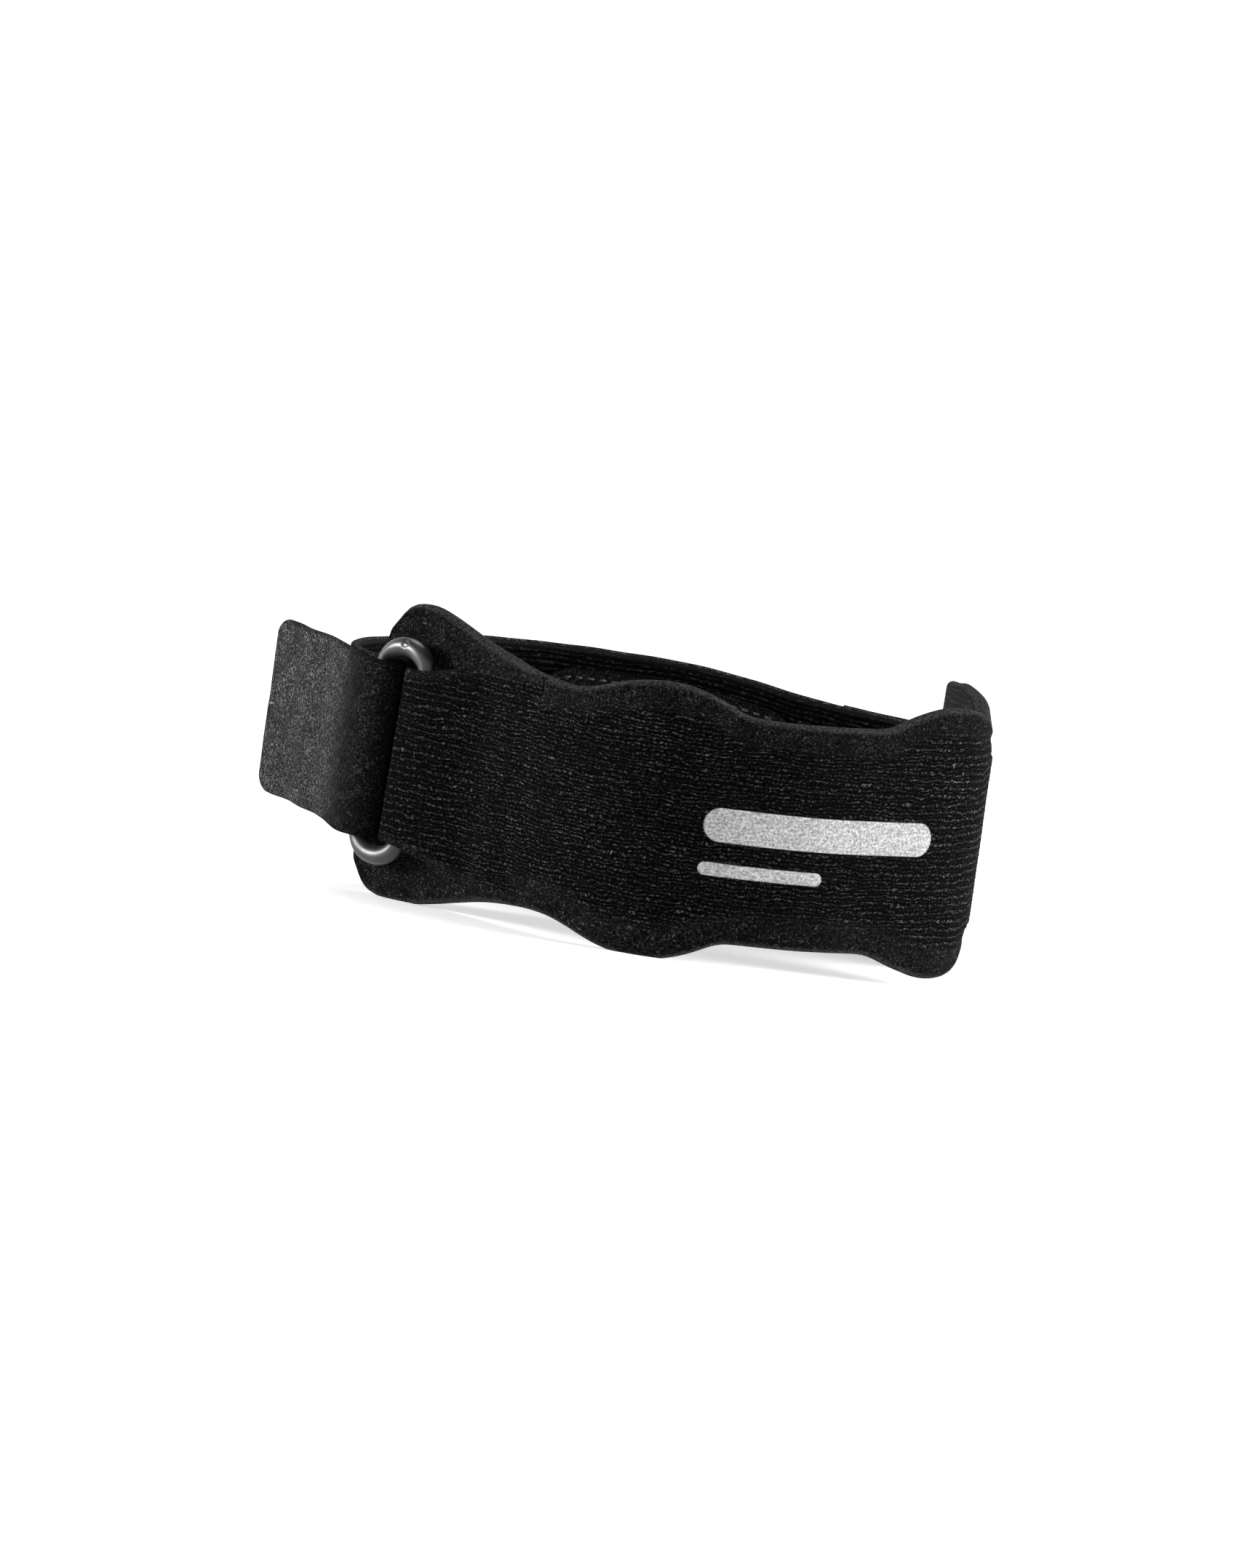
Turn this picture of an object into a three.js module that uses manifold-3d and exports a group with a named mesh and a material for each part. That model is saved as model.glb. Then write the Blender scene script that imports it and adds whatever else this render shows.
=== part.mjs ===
// Patella strap: a contoured foam panel faced with ribbed knit, carried by an
// adjustable velour strap through an oval ring at each end.
//
// Everything is laid out around one plan curve, the outer face of the panel as
// seen from above (x to the right, y away from the front, z up, millimetres).
// A place on the panel is given by s, the distance along that curve from the
// panel's left end, and d, the distance out from it.
import * as THREE from 'three';
import { mergeVertices } from 'three/addons/utils/BufferGeometryUtils.js';
import Module from 'manifold-3d';

// ---------------------------------------------------------------- dimensions
const PAD_THICK = 3.2;          // foam panel with its knit face
const PAD_EDGE = 1.35;          // rounding of the panel's rim
const PAD_LIFT = -0.3;          // panel's middle line against the strap's
const PAD_LEAN = 1.6;           // the left end leans back along the panel
const PAD_SKEW = 3.2;           // the right bulge's lower half sits further round
const STRAP_WIDE = 33.2;        // velour strap
const STRAP_THICK = 1.5;
const FLAP_WIDE = 32.6;         // knit flap that holds the ring
const FLAP_THICK = 1.3;
const RING_TUBE = 3.2;          // ring section diameter
const RING_HALF = 19.6;         // centre line, half height
const RING_PITCH = 10.8;        // centre line, bar to bar
const RING_STRAIGHT = 15.2;     // half length of the straight bars
const RING_FULL = 0.12;
const PATCH_WIDE = 24.6;        // sewn patch on the strap's inner face
const PATCH_THICK = 0.9;
const PATCH_CORNER = 7.0;
const RIGHT_DROP = 4.2;         // the right end hangs this much lower
const RING_SAG = 2.0;           // and its ring, flap and strap a little more
const RIGHT_EARLY = 5.5;        // the right lobe begins this much before the left one
const RIGHT_SHOULDER = 12;      // and its upper half still sooner
const RIGHT_CUT = 0.6;          // and its top stands a little lower
const LEFT_DIP = 0.9;           // hollow in the top edge beside the left lobe
const STANCE_X = 4.761;         // degrees, tips forward onto its front bulges
const STANCE_Y = -0.791;        // degrees, sideways
const FOOT_TRIM = 0.5;          // foam squashed flat where it rests

// Outer face of the panel in plan, left end to right end.
const PANEL_PLAN = [
  { x: -49.5, y: 51.0 }, { x: -44.5, y: 46.2 }, { x: -39.0, y: 41.0 },
  { x: -30.0, y: 31.5 }, { x: -20.8, y: 18.6 }, { x: -7.2, y: 5.2 },
  { x: 7.5, y: 0.0 }, { x: 19.1, y: 0.4 }, { x: 35.1, y: 4.1 },
  { x: 45.6, y: 10.5 }, { x: 55.5, y: 18.0 }, { x: 62.0, y: 25.5 },
  { x: 64.7, y: 35.0 }, { x: 65.1, y: 45.5 }, { x: 64.5, y: 56.5 },
  { x: 62.9, y: 67.0 }, { x: 61.2, y: 76.5 }, { x: 60.5, y: 85.0 },
  { x: 60.8, y: 95.0 },
];

// Half height of the panel by distance from its middle (symmetric outline):
// middle waist, bulge, waist, end lobe.
const PANEL_OUTLINE = [
  { from: 0.0, half: 20.8 }, { from: 11.0, half: 20.8 }, { from: 14.8, half: 21.2 },
  { from: 18.0, half: 22.6 }, { from: 22.0, half: 24.2 }, { from: 26.0, half: 25.1 },
  { from: 30.0, half: 25.3 }, { from: 34.5, half: 24.9 }, { from: 39.0, half: 23.9 },
  { from: 43.5, half: 22.5 }, { from: 48.0, half: 21.5 }, { from: 53.0, half: 21.2 },
  { from: 59.0, half: 21.6 }, { from: 66.0, half: 22.5 }, { from: 72.5, half: 23.8 },
  { from: 79.0, half: 25.4 }, { from: 85.0, half: 26.9 }, { from: 90.0, half: 27.9 },
  { from: 94.5, half: 28.2 }, { from: 98.0, half: 27.7 }, { from: 101.0, half: 26.2 },
  { from: 103.2, half: 23.6 }, { from: 104.6, half: 20.4 }, { from: 105.3, half: 15.5 },
];

// Ring bars: the inner bar carries the knit flap, the outer one the strap.
const BAR_INNER = { s: 16.9, d: 3.8 };
const BAR_OUTER_D = 4.15;
const FLAP_SLACK = 0.9;         // the flap's fold reaches this far past the bar's own wrap
const RIGHT_DENT = 0.9;         // the foam gives this much under the right ring
const CLOTH_LEAN = 0.038;       // left flap and strap lean in at the top, mm per mm
const RING_LEAN = 0.042;        // the left ring leans a little more
const FLAP_BEND = RING_TUBE / 2 + 0.4 + FLAP_THICK / 2;
const STRAP_BEND = RING_TUBE / 2 + 0.62 + STRAP_THICK / 2;

// Knit flap, centre of its thickness, from where it leaves the panel to the bar.
const FLAP_RISE = [
  { s: 38.5, d: 0.95, half: 20.4 }, { s: 34.5, d: 1.1, half: 20.2 }, { s: 30.5, d: 2.3, half: 19.4 },
  { s: 26.0, d: 4.3, half: 18.2 }, { s: 21.5, d: 5.85, half: 17.0 },
];
const FLAP_RETURN = [{ s: 20.0, d: 1.05, half: 16.3 }, { s: 25.0, d: 1.0, half: 16.3 }];

// Free end of the strap, centre of its thickness, from its end to the ring.
const TAB_PLAN = [
  { x: -69.0, y: 83.2 }, { x: -65.0, y: 76.2 }, { x: -61.2, y: 69.2 }, { x: -57.6, y: 62.0 },
  { x: -54.6, y: 54.0 }, { x: -52.6, y: 47.2 },
];
// Strap behind the leg, from the left ring round to the right ring.
const BACK_PLAN = [
  { x: -50.4, y: 49.7, drop: 0.0 }, { x: -52.7, y: 54.6, drop: 0.0 },
  { x: -53.8, y: 61.2, drop: 0.0 }, { x: -52.6, y: 68.0, drop: 0.0 },
  { x: -48.9, y: 75.4, drop: 0.0 }, { x: -41.0, y: 87.4, drop: 0.0 },
  { x: -32.0, y: 96.0, drop: 0.0 }, { x: -20.0, y: 101.0, drop: 0.0 },
  { x: -5.3, y: 102.8, drop: 0.1 }, { x: 10.5, y: 102.8, drop: 0.7 },
  { x: 18.4, y: 102.2, drop: 1.5 }, { x: 26.2, y: 101.2, drop: 2.7 },
  { x: 33.9, y: 100.0, drop: 3.7 }, { x: 41.6, y: 99.2, drop: 4.4 },
  { x: 49.2, y: 98.7, drop: 5.0 }, { x: 56.0, y: 97.8, drop: 5.6 },
];
const SEWN_END = 24;            // strap folded back and sewn at the right ring

// -------------------------------------------------------------------- curves
// Natural cubic spline through rows of numbers, one value per column.
function spline(knots, values) {
  const n = knots.length;
  const h = [], m = new Array(n).fill(0), u = new Array(n).fill(0), q = new Array(n).fill(0);
  for (let i = 0; i < n - 1; i++) h.push(knots[i + 1] - knots[i]);
  for (let i = 1; i < n - 1; i++) {
    const p = 2 * (h[i - 1] + h[i]) - h[i - 1] * u[i - 1];
    u[i] = h[i] / p;
    const rhs = 6 * ((values[i + 1] - values[i]) / h[i] - (values[i] - values[i - 1]) / h[i - 1]);
    q[i] = (rhs - h[i - 1] * q[i - 1]) / p;
  }
  for (let i = n - 2; i > 0; i--) m[i] = q[i] - u[i] * m[i + 1];
  return (t) => {
    let i = 0;
    while (i < n - 2 && t > knots[i + 1]) i++;
    const a = (knots[i + 1] - t) / h[i], b = (t - knots[i]) / h[i];
    return a * values[i] + b * values[i + 1]
      + ((a ** 3 - a) * m[i] + (b ** 3 - b) * m[i + 1]) * h[i] ** 2 / 6;
  };
}

// A plan curve through rows with x and y (and drop), measured by arc length.
function planCurve(rows) {
  const chord = [0];
  for (let i = 1; i < rows.length; i++) {
    chord.push(chord[i - 1] + Math.hypot(rows[i].x - rows[i - 1].x, rows[i].y - rows[i - 1].y));
  }
  const fx = spline(chord, rows.map((r) => r.x)), fy = spline(chord, rows.map((r) => r.y));
  const fd = spline(chord, rows.map((r) => r.drop || 0));
  const fw = spline(chord, rows.map((r) => r.half || 0));
  const fine = 1200, arc = [0], last = chord[chord.length - 1];
  for (let i = 1; i <= fine; i++) {
    const a = last * (i - 1) / fine, b = last * i / fine;
    arc.push(arc[i - 1] + Math.hypot(fx(b) - fx(a), fy(b) - fy(a)));
  }
  const length = arc[fine];
  const at = (s) => {
    const c = Math.min(Math.max(s, 0), length);
    let lo = 0, hi = fine;
    while (hi - lo > 1) { const mid = (lo + hi) >> 1; if (arc[mid] <= c) lo = mid; else hi = mid; }
    const t = last * (lo + (c - arc[lo]) / (arc[hi] - arc[lo])) / fine;
    const e = 0.05, tx = fx(t + e) - fx(t - e), ty = fy(t + e) - fy(t - e), l = Math.hypot(tx, ty);
    const over = s - c;         // past an end the curve runs on straight
    return { x: fx(t) + over * tx / l, y: fy(t) + over * ty / l, nx: ty / l, ny: -tx / l, tx: tx / l, ty: ty / l, drop: fd(t), wide: fw(t) };
  };
  return { at, length };
}

const panel = planCurve(PANEL_PLAN);
const MIDDLE = 105.6;           // s of the panel's middle on its plan curve
const outlineHalf = spline(PANEL_OUTLINE.map((r) => r.from), PANEL_OUTLINE.map((r) => r.half));
const HALF_RUN = PANEL_OUTLINE[PANEL_OUTLINE.length - 1].from;

// How far the panel hangs down at s: only its right end does.
function panelDrop(s) {
  const t = Math.min(Math.max((s - (MIDDLE + 42)) / 48, 0), 1);
  return RIGHT_DROP * t * t * (3 - 2 * t);
}

// How far the panel's outer face is pressed in at s.
function panelDent(s) {
  const t = Math.min(Math.max((s - (MIDDLE + 68)) / 14, 0), 1);
  return RIGHT_DENT * t * t * (3 - 2 * t);
}

// Place on the panel by s and d; side -1 counts s from the right end instead.
function onPanel(s, d, side = 1) {
  const along = side > 0 ? MIDDLE - HALF_RUN + s : MIDDLE + HALF_RUN - s;
  const p = panel.at(along), out = d - panelDent(along);
  return { x: p.x + p.nx * out, y: p.y + p.ny * out, drop: panelDrop(along) + (side < 0 ? RING_SAG : 0) };
}

// -------------------------------------------------------------------- solids
// Round-cornered section, thickness along d and height along z.
function section(halfThick, bottom, top, corner, steps) {
  const pts = [];
  const centres = [[halfThick - corner, bottom + corner, -90], [halfThick - corner, top - corner, 0],
    [corner - halfThick, top - corner, 90], [corner - halfThick, bottom + corner, 180]];
  for (const [cd, cz, start] of centres) {
    for (let i = 0; i <= steps; i++) {
      const a = THREE.MathUtils.degToRad(start + 90 * i / steps);
      pts.push([cd + corner * Math.cos(a), cz + corner * Math.sin(a)]);
    }
  }
  return pts;
}

// Closed skin over a row of sections; each section is a list of [x, y, z].
function skin(rows) {
  const n = rows[0].length, pos = [], idx = [];
  for (const row of rows) for (const p of row) pos.push(p[0], p[1], p[2]);
  for (let i = 0; i < rows.length - 1; i++) {
    for (let j = 0; j < n; j++) {
      const a = i * n + j, b = i * n + (j + 1) % n, c = a + n, d = b + n;
      idx.push(a, c, b, b, c, d);
    }
  }
  const end = (rows.length - 1) * n;
  for (let j = 1; j < n - 1; j++) {
    idx.push(0, j, j + 1);
    idx.push(end, end + j + 1, end + j);
  }
  const g = new THREE.BufferGeometry();
  g.setAttribute('position', new THREE.Float32BufferAttribute(pos, 3));
  g.setIndex(idx);
  return g;
}

// A band standing on edge along a path of { x, y, nx, ny, top, bottom, half }.
function band(path, corner, steps) {
  return skin(path.map((p) => section(p.half, p.bottom, p.top, Math.min(corner, p.half * 0.98), steps)
    .map(([d, z]) => [p.x + p.nx * d, p.y + p.ny * d, z])));
}

// Path through plan rows, sampled closer where it bends, for a strip of one width.
function stripPath(rows, step, width, thick, endRound) {
  const curve = planCurve(rows);
  const marks = [0];
  let s = 0;
  while (s < curve.length) {
    const a = curve.at(s), b = curve.at(Math.min(s + 1, curve.length));
    const turn = Math.acos(Math.min(1, a.tx * b.tx + a.ty * b.ty));
    s += Math.min(step, Math.max(0.55, 0.30 / (turn + 1e-6)));
    if (s < curve.length - 0.4) marks.push(s);
  }
  marks.push(curve.length);
  if (endRound) for (const e of [0.35, 1.2, 2.6, 4.4]) marks.push(e);
  marks.sort((p, q) => p - q);
  const use = marks.filter((m, i) => i === 0 || m - marks[i - 1] > 0.3);
  return use.map((m) => {
    const p = curve.at(m);
    const r = endRound && m < endRound ? endRound - Math.sqrt(endRound ** 2 - (endRound - m) ** 2) : 0;
    const h = p.wide > 1 ? p.wide : width / 2;
    return { ...p, half: thick / 2, top: h - r - p.drop, bottom: -h + r - p.drop };
  });
}

// ------------------------------------------------------------- stance, colour
const stance = new THREE.Matrix4().makeRotationX(THREE.MathUtils.degToRad(STANCE_X))
  .multiply(new THREE.Matrix4().makeRotationY(THREE.MathUtils.degToRad(STANCE_Y)));

const knit = new THREE.MeshStandardMaterial({ color: 0x17171a, roughness: 0.95, metalness: 0 });
const velour = new THREE.MeshStandardMaterial({ color: 0x222226, roughness: 1.0, metalness: 0 });
const plastic = new THREE.MeshStandardMaterial({ color: 0x0c0c0d, roughness: 0.38, metalness: 0 });

// --------------------------------------------------------------------- panel
function padGeometry() {
  const marks = [];
  const ends = [0, 0.35, 1.1, 2.2, 3.6, 5.4, 7.8, 10.8, 14.2];
  for (const e of ends) { marks.push(e, 2 * HALF_RUN - e); }
  for (let s = 18; s < 2 * HALF_RUN - 16.5; s += 2.55) marks.push(s);
  marks.sort((a, b) => a - b);
  const path = marks.map((m) => {
    const along = MIDDLE - HALF_RUN + m, p = panel.at(along);
    const fromEnd = Math.min(m, 2 * HALF_RUN - m);
    const from = Math.abs(m - HALF_RUN), lean = PAD_LEAN * Math.min(Math.max((24 - m) / 16, 0), 1);
    const skew = PAD_SKEW * Math.min(Math.max((m - 116) / 14, 0), 1) * Math.min(Math.max((184 - m) / 26, 0), 1);
    const dip = LEFT_DIP * Math.exp(-(((m - 24) / 10) ** 2));
    const past = m - HALF_RUN, early = RIGHT_EARLY * Math.min(Math.max((past - 56) / 12, 0), 1) * Math.min(Math.max((98 - past) / 14, 0), 1);
    const shoulder = RIGHT_SHOULDER * Math.min(Math.max((past - 52) / 14, 0), 1) * Math.min(Math.max((98 - past) / 14, 0), 1);
    const cut = RIGHT_CUT * Math.min(Math.max((past - 70) / 18, 0), 1) + 2.2 * Math.min(Math.max((past - 93) / 12, 0), 1) ** 2;
    const top = outlineHalf(Math.min(from + lean + shoulder, HALF_RUN)) - dip - cut;
    const foot = outlineHalf(Math.abs(m - skew - HALF_RUN) - 0.5 * lean + early);
    const thin = Math.sqrt(1 - Math.max(0, 1 - (fromEnd + 0.25) / 2.4) ** 2);
    const t = (PAD_THICK - panelDent(along)) * thin, drop = panelDrop(along);
    // the outer face stays on the plan curve until the rim rounds over
    const c = -(PAD_THICK + panelDent(along)) / 2;
    return { x: p.x + p.nx * c, y: p.y + p.ny * c, nx: p.nx, ny: p.ny, half: t / 2,
      top: top + PAD_LIFT - 0.2 - drop, bottom: PAD_LIFT + 0.2 - foot - drop };
  });
  return band(path, PAD_EDGE, 3);
}

// --------------------------------------------------------------------- flaps
function flapGeometry(side) {
  // the right flap keeps the strap's width, the left one flares into the panel
  const rows = FLAP_RISE.map((r) => ({ ...onPanel(r.s, r.d, side), half: side > 0 ? r.half : FLAP_WIDE / 2 }));
  for (let a = 90; a <= 270; a += 30) {
    const t = THREE.MathUtils.degToRad(a);
    rows.push(onPanel(BAR_INNER.s - FLAP_SLACK + FLAP_BEND * Math.cos(t), BAR_INNER.d + FLAP_BEND * Math.sin(t), side));
    rows[rows.length - 1].half = FLAP_WIDE / 2;
  }
  for (const r of FLAP_RETURN) rows.push({ ...onPanel(r.s, r.d, side), half: r.half });
  return band(stripPath(rows, 2.4, FLAP_WIDE, FLAP_THICK, 0), 0.4, 1);
}

// --------------------------------------------------------------------- rings
function ringFrame(side) {
  const inner = onPanel(BAR_INNER.s, BAR_INNER.d, side);
  let s = BAR_INNER.s - RING_PITCH, outer;
  for (let i = 0; i < 40; i++) {
    outer = onPanel(s, BAR_OUTER_D, side);
    s += (Math.hypot(outer.x - inner.x, outer.y - inner.y) - RING_PITCH) * 0.8;
  }
  const ux = (outer.x - inner.x) / RING_PITCH, uy = (outer.y - inner.y) / RING_PITCH;
  return { inner, outer, outerS: s, ux, uy, x: (inner.x + outer.x) / 2, y: (inner.y + outer.y) / 2, drop: inner.drop };
}
const leftRing = ringFrame(1), rightRing = ringFrame(-1);

function ringGeometry(f) {
  // oval centre line: straight bars, elliptical ends
  const line = [], a = RING_PITCH / 2, b = RING_HALF - RING_STRAIGHT, arc = 12;
  for (let i = 0; i <= arc; i++) line.push([a * Math.cos(Math.PI * i / arc), RING_STRAIGHT + b * Math.sin(Math.PI * i / arc)]);
  for (let i = 1; i < 4; i++) line.push([-a, RING_STRAIGHT - 2 * RING_STRAIGHT * i / 4]);
  for (let i = 0; i <= arc; i++) line.push([-a * Math.cos(Math.PI * i / arc), -RING_STRAIGHT - b * Math.sin(Math.PI * i / arc)]);
  for (let i = 1; i < 4; i++) line.push([a, -RING_STRAIGHT + 2 * RING_STRAIGHT * i / 4]);
  const n = line.length, sides = 12, pos = [], idx = [];
  for (let i = 0; i < n; i++) {
    const p = line[(i + n - 1) % n], q = line[(i + 1) % n];
    const tl = Math.hypot(q[0] - p[0], q[1] - p[1]), tu = (q[0] - p[0]) / tl, tz = (q[1] - p[1]) / tl;
    // the arcs are moulded a little fuller than the bars
    const full = 1 + RING_FULL * Math.min(Math.max((Math.abs(line[i][1]) - RING_STRAIGHT - 1.5) / 2.4, 0), 1);
    for (let j = 0; j < sides; j++) {
      const t = 2 * Math.PI * j / sides, r = RING_TUBE / 2 * full, w = r * Math.cos(t), v = r * Math.sin(t);
      const u = line[i][0] + tz * w, z = line[i][1] - tu * w;
      pos.push(f.x + f.ux * u + f.uy * v, f.y + f.uy * u - f.ux * v, z - f.drop);
    }
  }
  for (let i = 0; i < n; i++) {
    for (let j = 0; j < sides; j++) {
      const a0 = i * sides + j, b0 = i * sides + (j + 1) % sides;
      const c0 = ((i + 1) % n) * sides + j, d0 = ((i + 1) % n) * sides + (j + 1) % sides;
      idx.push(a0, c0, b0, b0, c0, d0);
    }
  }
  const g = new THREE.BufferGeometry();
  g.setAttribute('position', new THREE.Float32BufferAttribute(pos, 3));
  g.setIndex(idx);
  return g;
}

// --------------------------------------------------------------------- strap
// Half turn of the strap round a ring's outer bar, from outside to inside.
function strapTurn(f, outward) {
  const turn = [];
  for (let a = 90; a >= -90; a -= 30) {
    const t = THREE.MathUtils.degToRad(a), u = -STRAP_BEND * Math.cos(t), w = STRAP_BEND * Math.sin(t);
    turn.push({ x: f.outer.x + f.ux * u + outward.x * w, y: f.outer.y + f.uy * u + outward.y * w, drop: f.drop });
  }
  return turn;
}
function outwardOf(f) {
  const n = { x: f.uy, y: -f.ux };
  const away = panelMidSide(f);
  return (n.x * away.x + n.y * away.y) > 0 ? n : { x: -n.x, y: -n.y };
}
function panelMidSide(f) {
  return { x: f.x - 4, y: f.y - 48 };     // from a point inside the loop
}
function strapGeometry() {
  const rows = TAB_PLAN.map((r) => ({ ...r, drop: 0 }));
  rows.push(...strapTurn(leftRing, outwardOf(leftRing)));
  rows.push(...BACK_PLAN);
  const right = strapTurn(rightRing, outwardOf(rightRing)).reverse();
  const inRun = onPanel(-0.5, 2.0, -1);
  rows.push({ ...inRun });
  rows.push(...right);
  // sewn end, laid back along the strap's outer face
  const back = planCurve([...BACK_PLAN, inRun]);
  const gap = STRAP_THICK + 0.35;
  for (const r of [8.5, SEWN_END - 7, SEWN_END]) {
    const p = back.at(back.length - r);
    rows.push({ x: p.x - p.nx * gap, y: p.y - p.ny * gap, drop: p.drop });
  }
  return { rows, geometry: band(stripPath(rows, 3.6, STRAP_WIDE, STRAP_THICK, 4.0), 0.45, 1) };
}
const strapMade = strapGeometry();

// --------------------------------------------------------------------- patch
function patchGeometry() {
  const back = planCurve(BACK_PLAN);
  const start = 119, length = 52, rows = [];
  const marks = [0, 0.5, 1.6, 3.2, 5.2, PATCH_CORNER, 12, 17, 22, 27, 32, 37, 42, length - PATCH_CORNER, length - 5.2, length - 3.2, length - 1.6, length - 0.5, length];
  const path = marks.map((m) => {
    const p = back.at(start - length + m);
    const e = Math.min(m, length - m);
    const r = e < PATCH_CORNER ? PATCH_CORNER - Math.sqrt(PATCH_CORNER ** 2 - (PATCH_CORNER - e) ** 2) : 0;
    const d = STRAP_THICK / 2 + 0.3 + PATCH_THICK / 2;
    return { x: p.x + p.nx * d, y: p.y + p.ny * d, nx: p.nx, ny: p.ny, half: PATCH_THICK / 2,
      top: PATCH_WIDE / 2 - r - p.drop, bottom: -PATCH_WIDE / 2 + r - p.drop };
  });
  return band(path, 0.3, 1);
}

// ------------------------------------------------------------------ assembly
const pieces = [
  ['front_pad', padGeometry(), knit],
  ['knit_flap_left', flapGeometry(1), knit],
  ['knit_flap_right', flapGeometry(-1), knit],
  ['ring_left', ringGeometry(leftRing), plastic],
  ['ring_right', ringGeometry(rightRing), plastic],
  ['strap', strapMade.geometry, velour],
  ['inner_patch', patchGeometry(), velour],
];

const wasm = await Module();
wasm.setup();

function solidOf(geometry) {
  const g = mergeVertices(geometry, 1e-4);
  return new wasm.Manifold(new wasm.Mesh({
    numProp: 3, vertProperties: new Float32Array(g.attributes.position.array), triVerts: new Uint32Array(g.index.array),
  }));
}
function geometryOf(solid) {
  const m = solid.getMesh();
  const g = new THREE.BufferGeometry();
  g.setAttribute('position', new THREE.BufferAttribute(new Float32Array(m.vertProperties), 3));
  g.setIndex(new THREE.BufferAttribute(new Uint32Array(m.triVerts), 1));
  return g;
}
// Turn a closed skin the right way out.
function outward(geometry) {
  const p = geometry.attributes.position, ix = geometry.index.array;
  let v = 0;
  const a = new THREE.Vector3(), b = new THREE.Vector3(), c = new THREE.Vector3();
  for (let i = 0; i < ix.length; i += 3) {
    a.fromBufferAttribute(p, ix[i]); b.fromBufferAttribute(p, ix[i + 1]); c.fromBufferAttribute(p, ix[i + 2]);
    v += a.dot(b.cross(c));
  }
  if (v < 0) for (let i = 0; i < ix.length; i += 3) { const t = ix[i + 1]; ix[i + 1] = ix[i + 2]; ix[i + 2] = t; }
  return geometry;
}

// Lean round the left ring, fading out along the cloth.
function leanLeft(geometry, amount) {
  const p = geometry.attributes.position, f = leftRing;
  for (let i = 0; i < p.count; i++) {
    const t = Math.min(Math.max((Math.hypot(p.getX(i) - f.x, p.getY(i) - f.y) - 9) / 14, 0), 1);
    const q = -amount * p.getZ(i) * (1 - t * t * (3 - 2 * t));
    p.setX(i, p.getX(i) + f.ux * q);
    p.setY(i, p.getY(i) + f.uy * q);
  }
}
const LEANING = { knit_flap_left: CLOTH_LEAN, strap: CLOTH_LEAN, ring_left: RING_LEAN };

let low = Infinity;
const box = new THREE.Box3();
for (const piece of pieces) {
  outward(piece[1]);
  if (LEANING[piece[0]]) leanLeft(piece[1], LEANING[piece[0]]);
  piece[1].applyMatrix4(stance);
  piece[1].computeBoundingBox();
  box.union(piece[1].boundingBox);
  low = Math.min(low, piece[1].boundingBox.min.z);
}
const floor = low + FOOT_TRIM;
const shift = new THREE.Vector3(-(box.min.x + box.max.x) / 2, -(box.min.y + box.max.y) / 2, -floor);
export const layout = { shift: shift.toArray(), panelLength: panel.length, box: [box.min.toArray(), box.max.toArray()],
  left: leftRing, right: rightRing, strapLength: planCurve(strapMade.rows).length };

const strap = new THREE.Group();
for (const [name, geometry, material] of pieces) {
  geometry.applyMatrix4(new THREE.Matrix4().makeTranslation(shift.x, shift.y, shift.z));
  let g = geometry;
  if (name === 'front_pad') {
    // the lower rim is flat where the foam stands on a surface
    const slab = new THREE.BoxGeometry(400, 400, 40);
    slab.deleteAttribute('normal'); slab.deleteAttribute('uv');
    slab.applyMatrix4(new THREE.Matrix4().makeTranslation(0, 0, -20));
    g = geometryOf(solidOf(geometry).subtract(solidOf(slab)));
  }
  g.computeVertexNormals();
  const mesh = new THREE.Mesh(g, material);
  mesh.name = name;
  strap.add(mesh);
}

export default strap;
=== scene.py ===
"""Patella strap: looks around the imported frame.

Lengths in the tables are millimetres in the strap's own layout (x right, y away
from the front, z up from the strap's middle line); place() turns them into the
row frame in metres, where the strap stands on the panel's lower rim.
"""
import math

import bmesh
import bpy
import numpy as np
from mathutils import Matrix, Vector


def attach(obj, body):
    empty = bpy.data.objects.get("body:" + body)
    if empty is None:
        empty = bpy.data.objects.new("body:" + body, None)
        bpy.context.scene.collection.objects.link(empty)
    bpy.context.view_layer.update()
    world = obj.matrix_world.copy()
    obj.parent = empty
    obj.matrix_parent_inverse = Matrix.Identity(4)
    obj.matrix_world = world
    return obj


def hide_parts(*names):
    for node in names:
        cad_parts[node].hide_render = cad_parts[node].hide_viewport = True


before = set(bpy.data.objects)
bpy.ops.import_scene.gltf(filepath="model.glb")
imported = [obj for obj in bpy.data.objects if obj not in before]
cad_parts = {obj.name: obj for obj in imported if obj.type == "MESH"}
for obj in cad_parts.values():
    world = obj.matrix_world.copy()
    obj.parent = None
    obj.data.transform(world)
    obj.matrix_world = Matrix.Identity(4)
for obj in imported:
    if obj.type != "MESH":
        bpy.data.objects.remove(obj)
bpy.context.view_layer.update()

# ------------------------------------------------------------ layout, as in CAD
PAD_THICK, PAD_EDGE, PAD_LIFT, PAD_LEAN, PAD_SKEW = 3.2, 1.35, -0.3, 1.6, 3.2
STRAP_WIDE, STRAP_THICK = 33.2, 1.5
FLAP_WIDE, FLAP_THICK = 32.6, 1.3
RING_TUBE, RING_HALF, RING_PITCH, RING_STRAIGHT = 3.2, 19.6, 10.8, 15.2
PATCH_WIDE, PATCH_THICK, PATCH_CORNER = 24.6, 0.9, 7.0
RIGHT_DROP, RING_SAG, LEFT_DIP, RIGHT_DENT = 4.2, 2.0, 0.9, 0.9
CLOTH_LEAN, RING_LEAN = 0.038, 0.042
STANCE_X, STANCE_Y = 4.761, -0.791
SHIFT = np.array([1.004421, -51.331216, 24.598482])
RIGHT_EARLY, RIGHT_CUT, RIGHT_SHOULDER = 5.5, 0.6, 12.0
MIDDLE = 105.6
BAR_S, BAR_D, BAR_OUTER_D = 16.9, 3.8, 4.15
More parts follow.
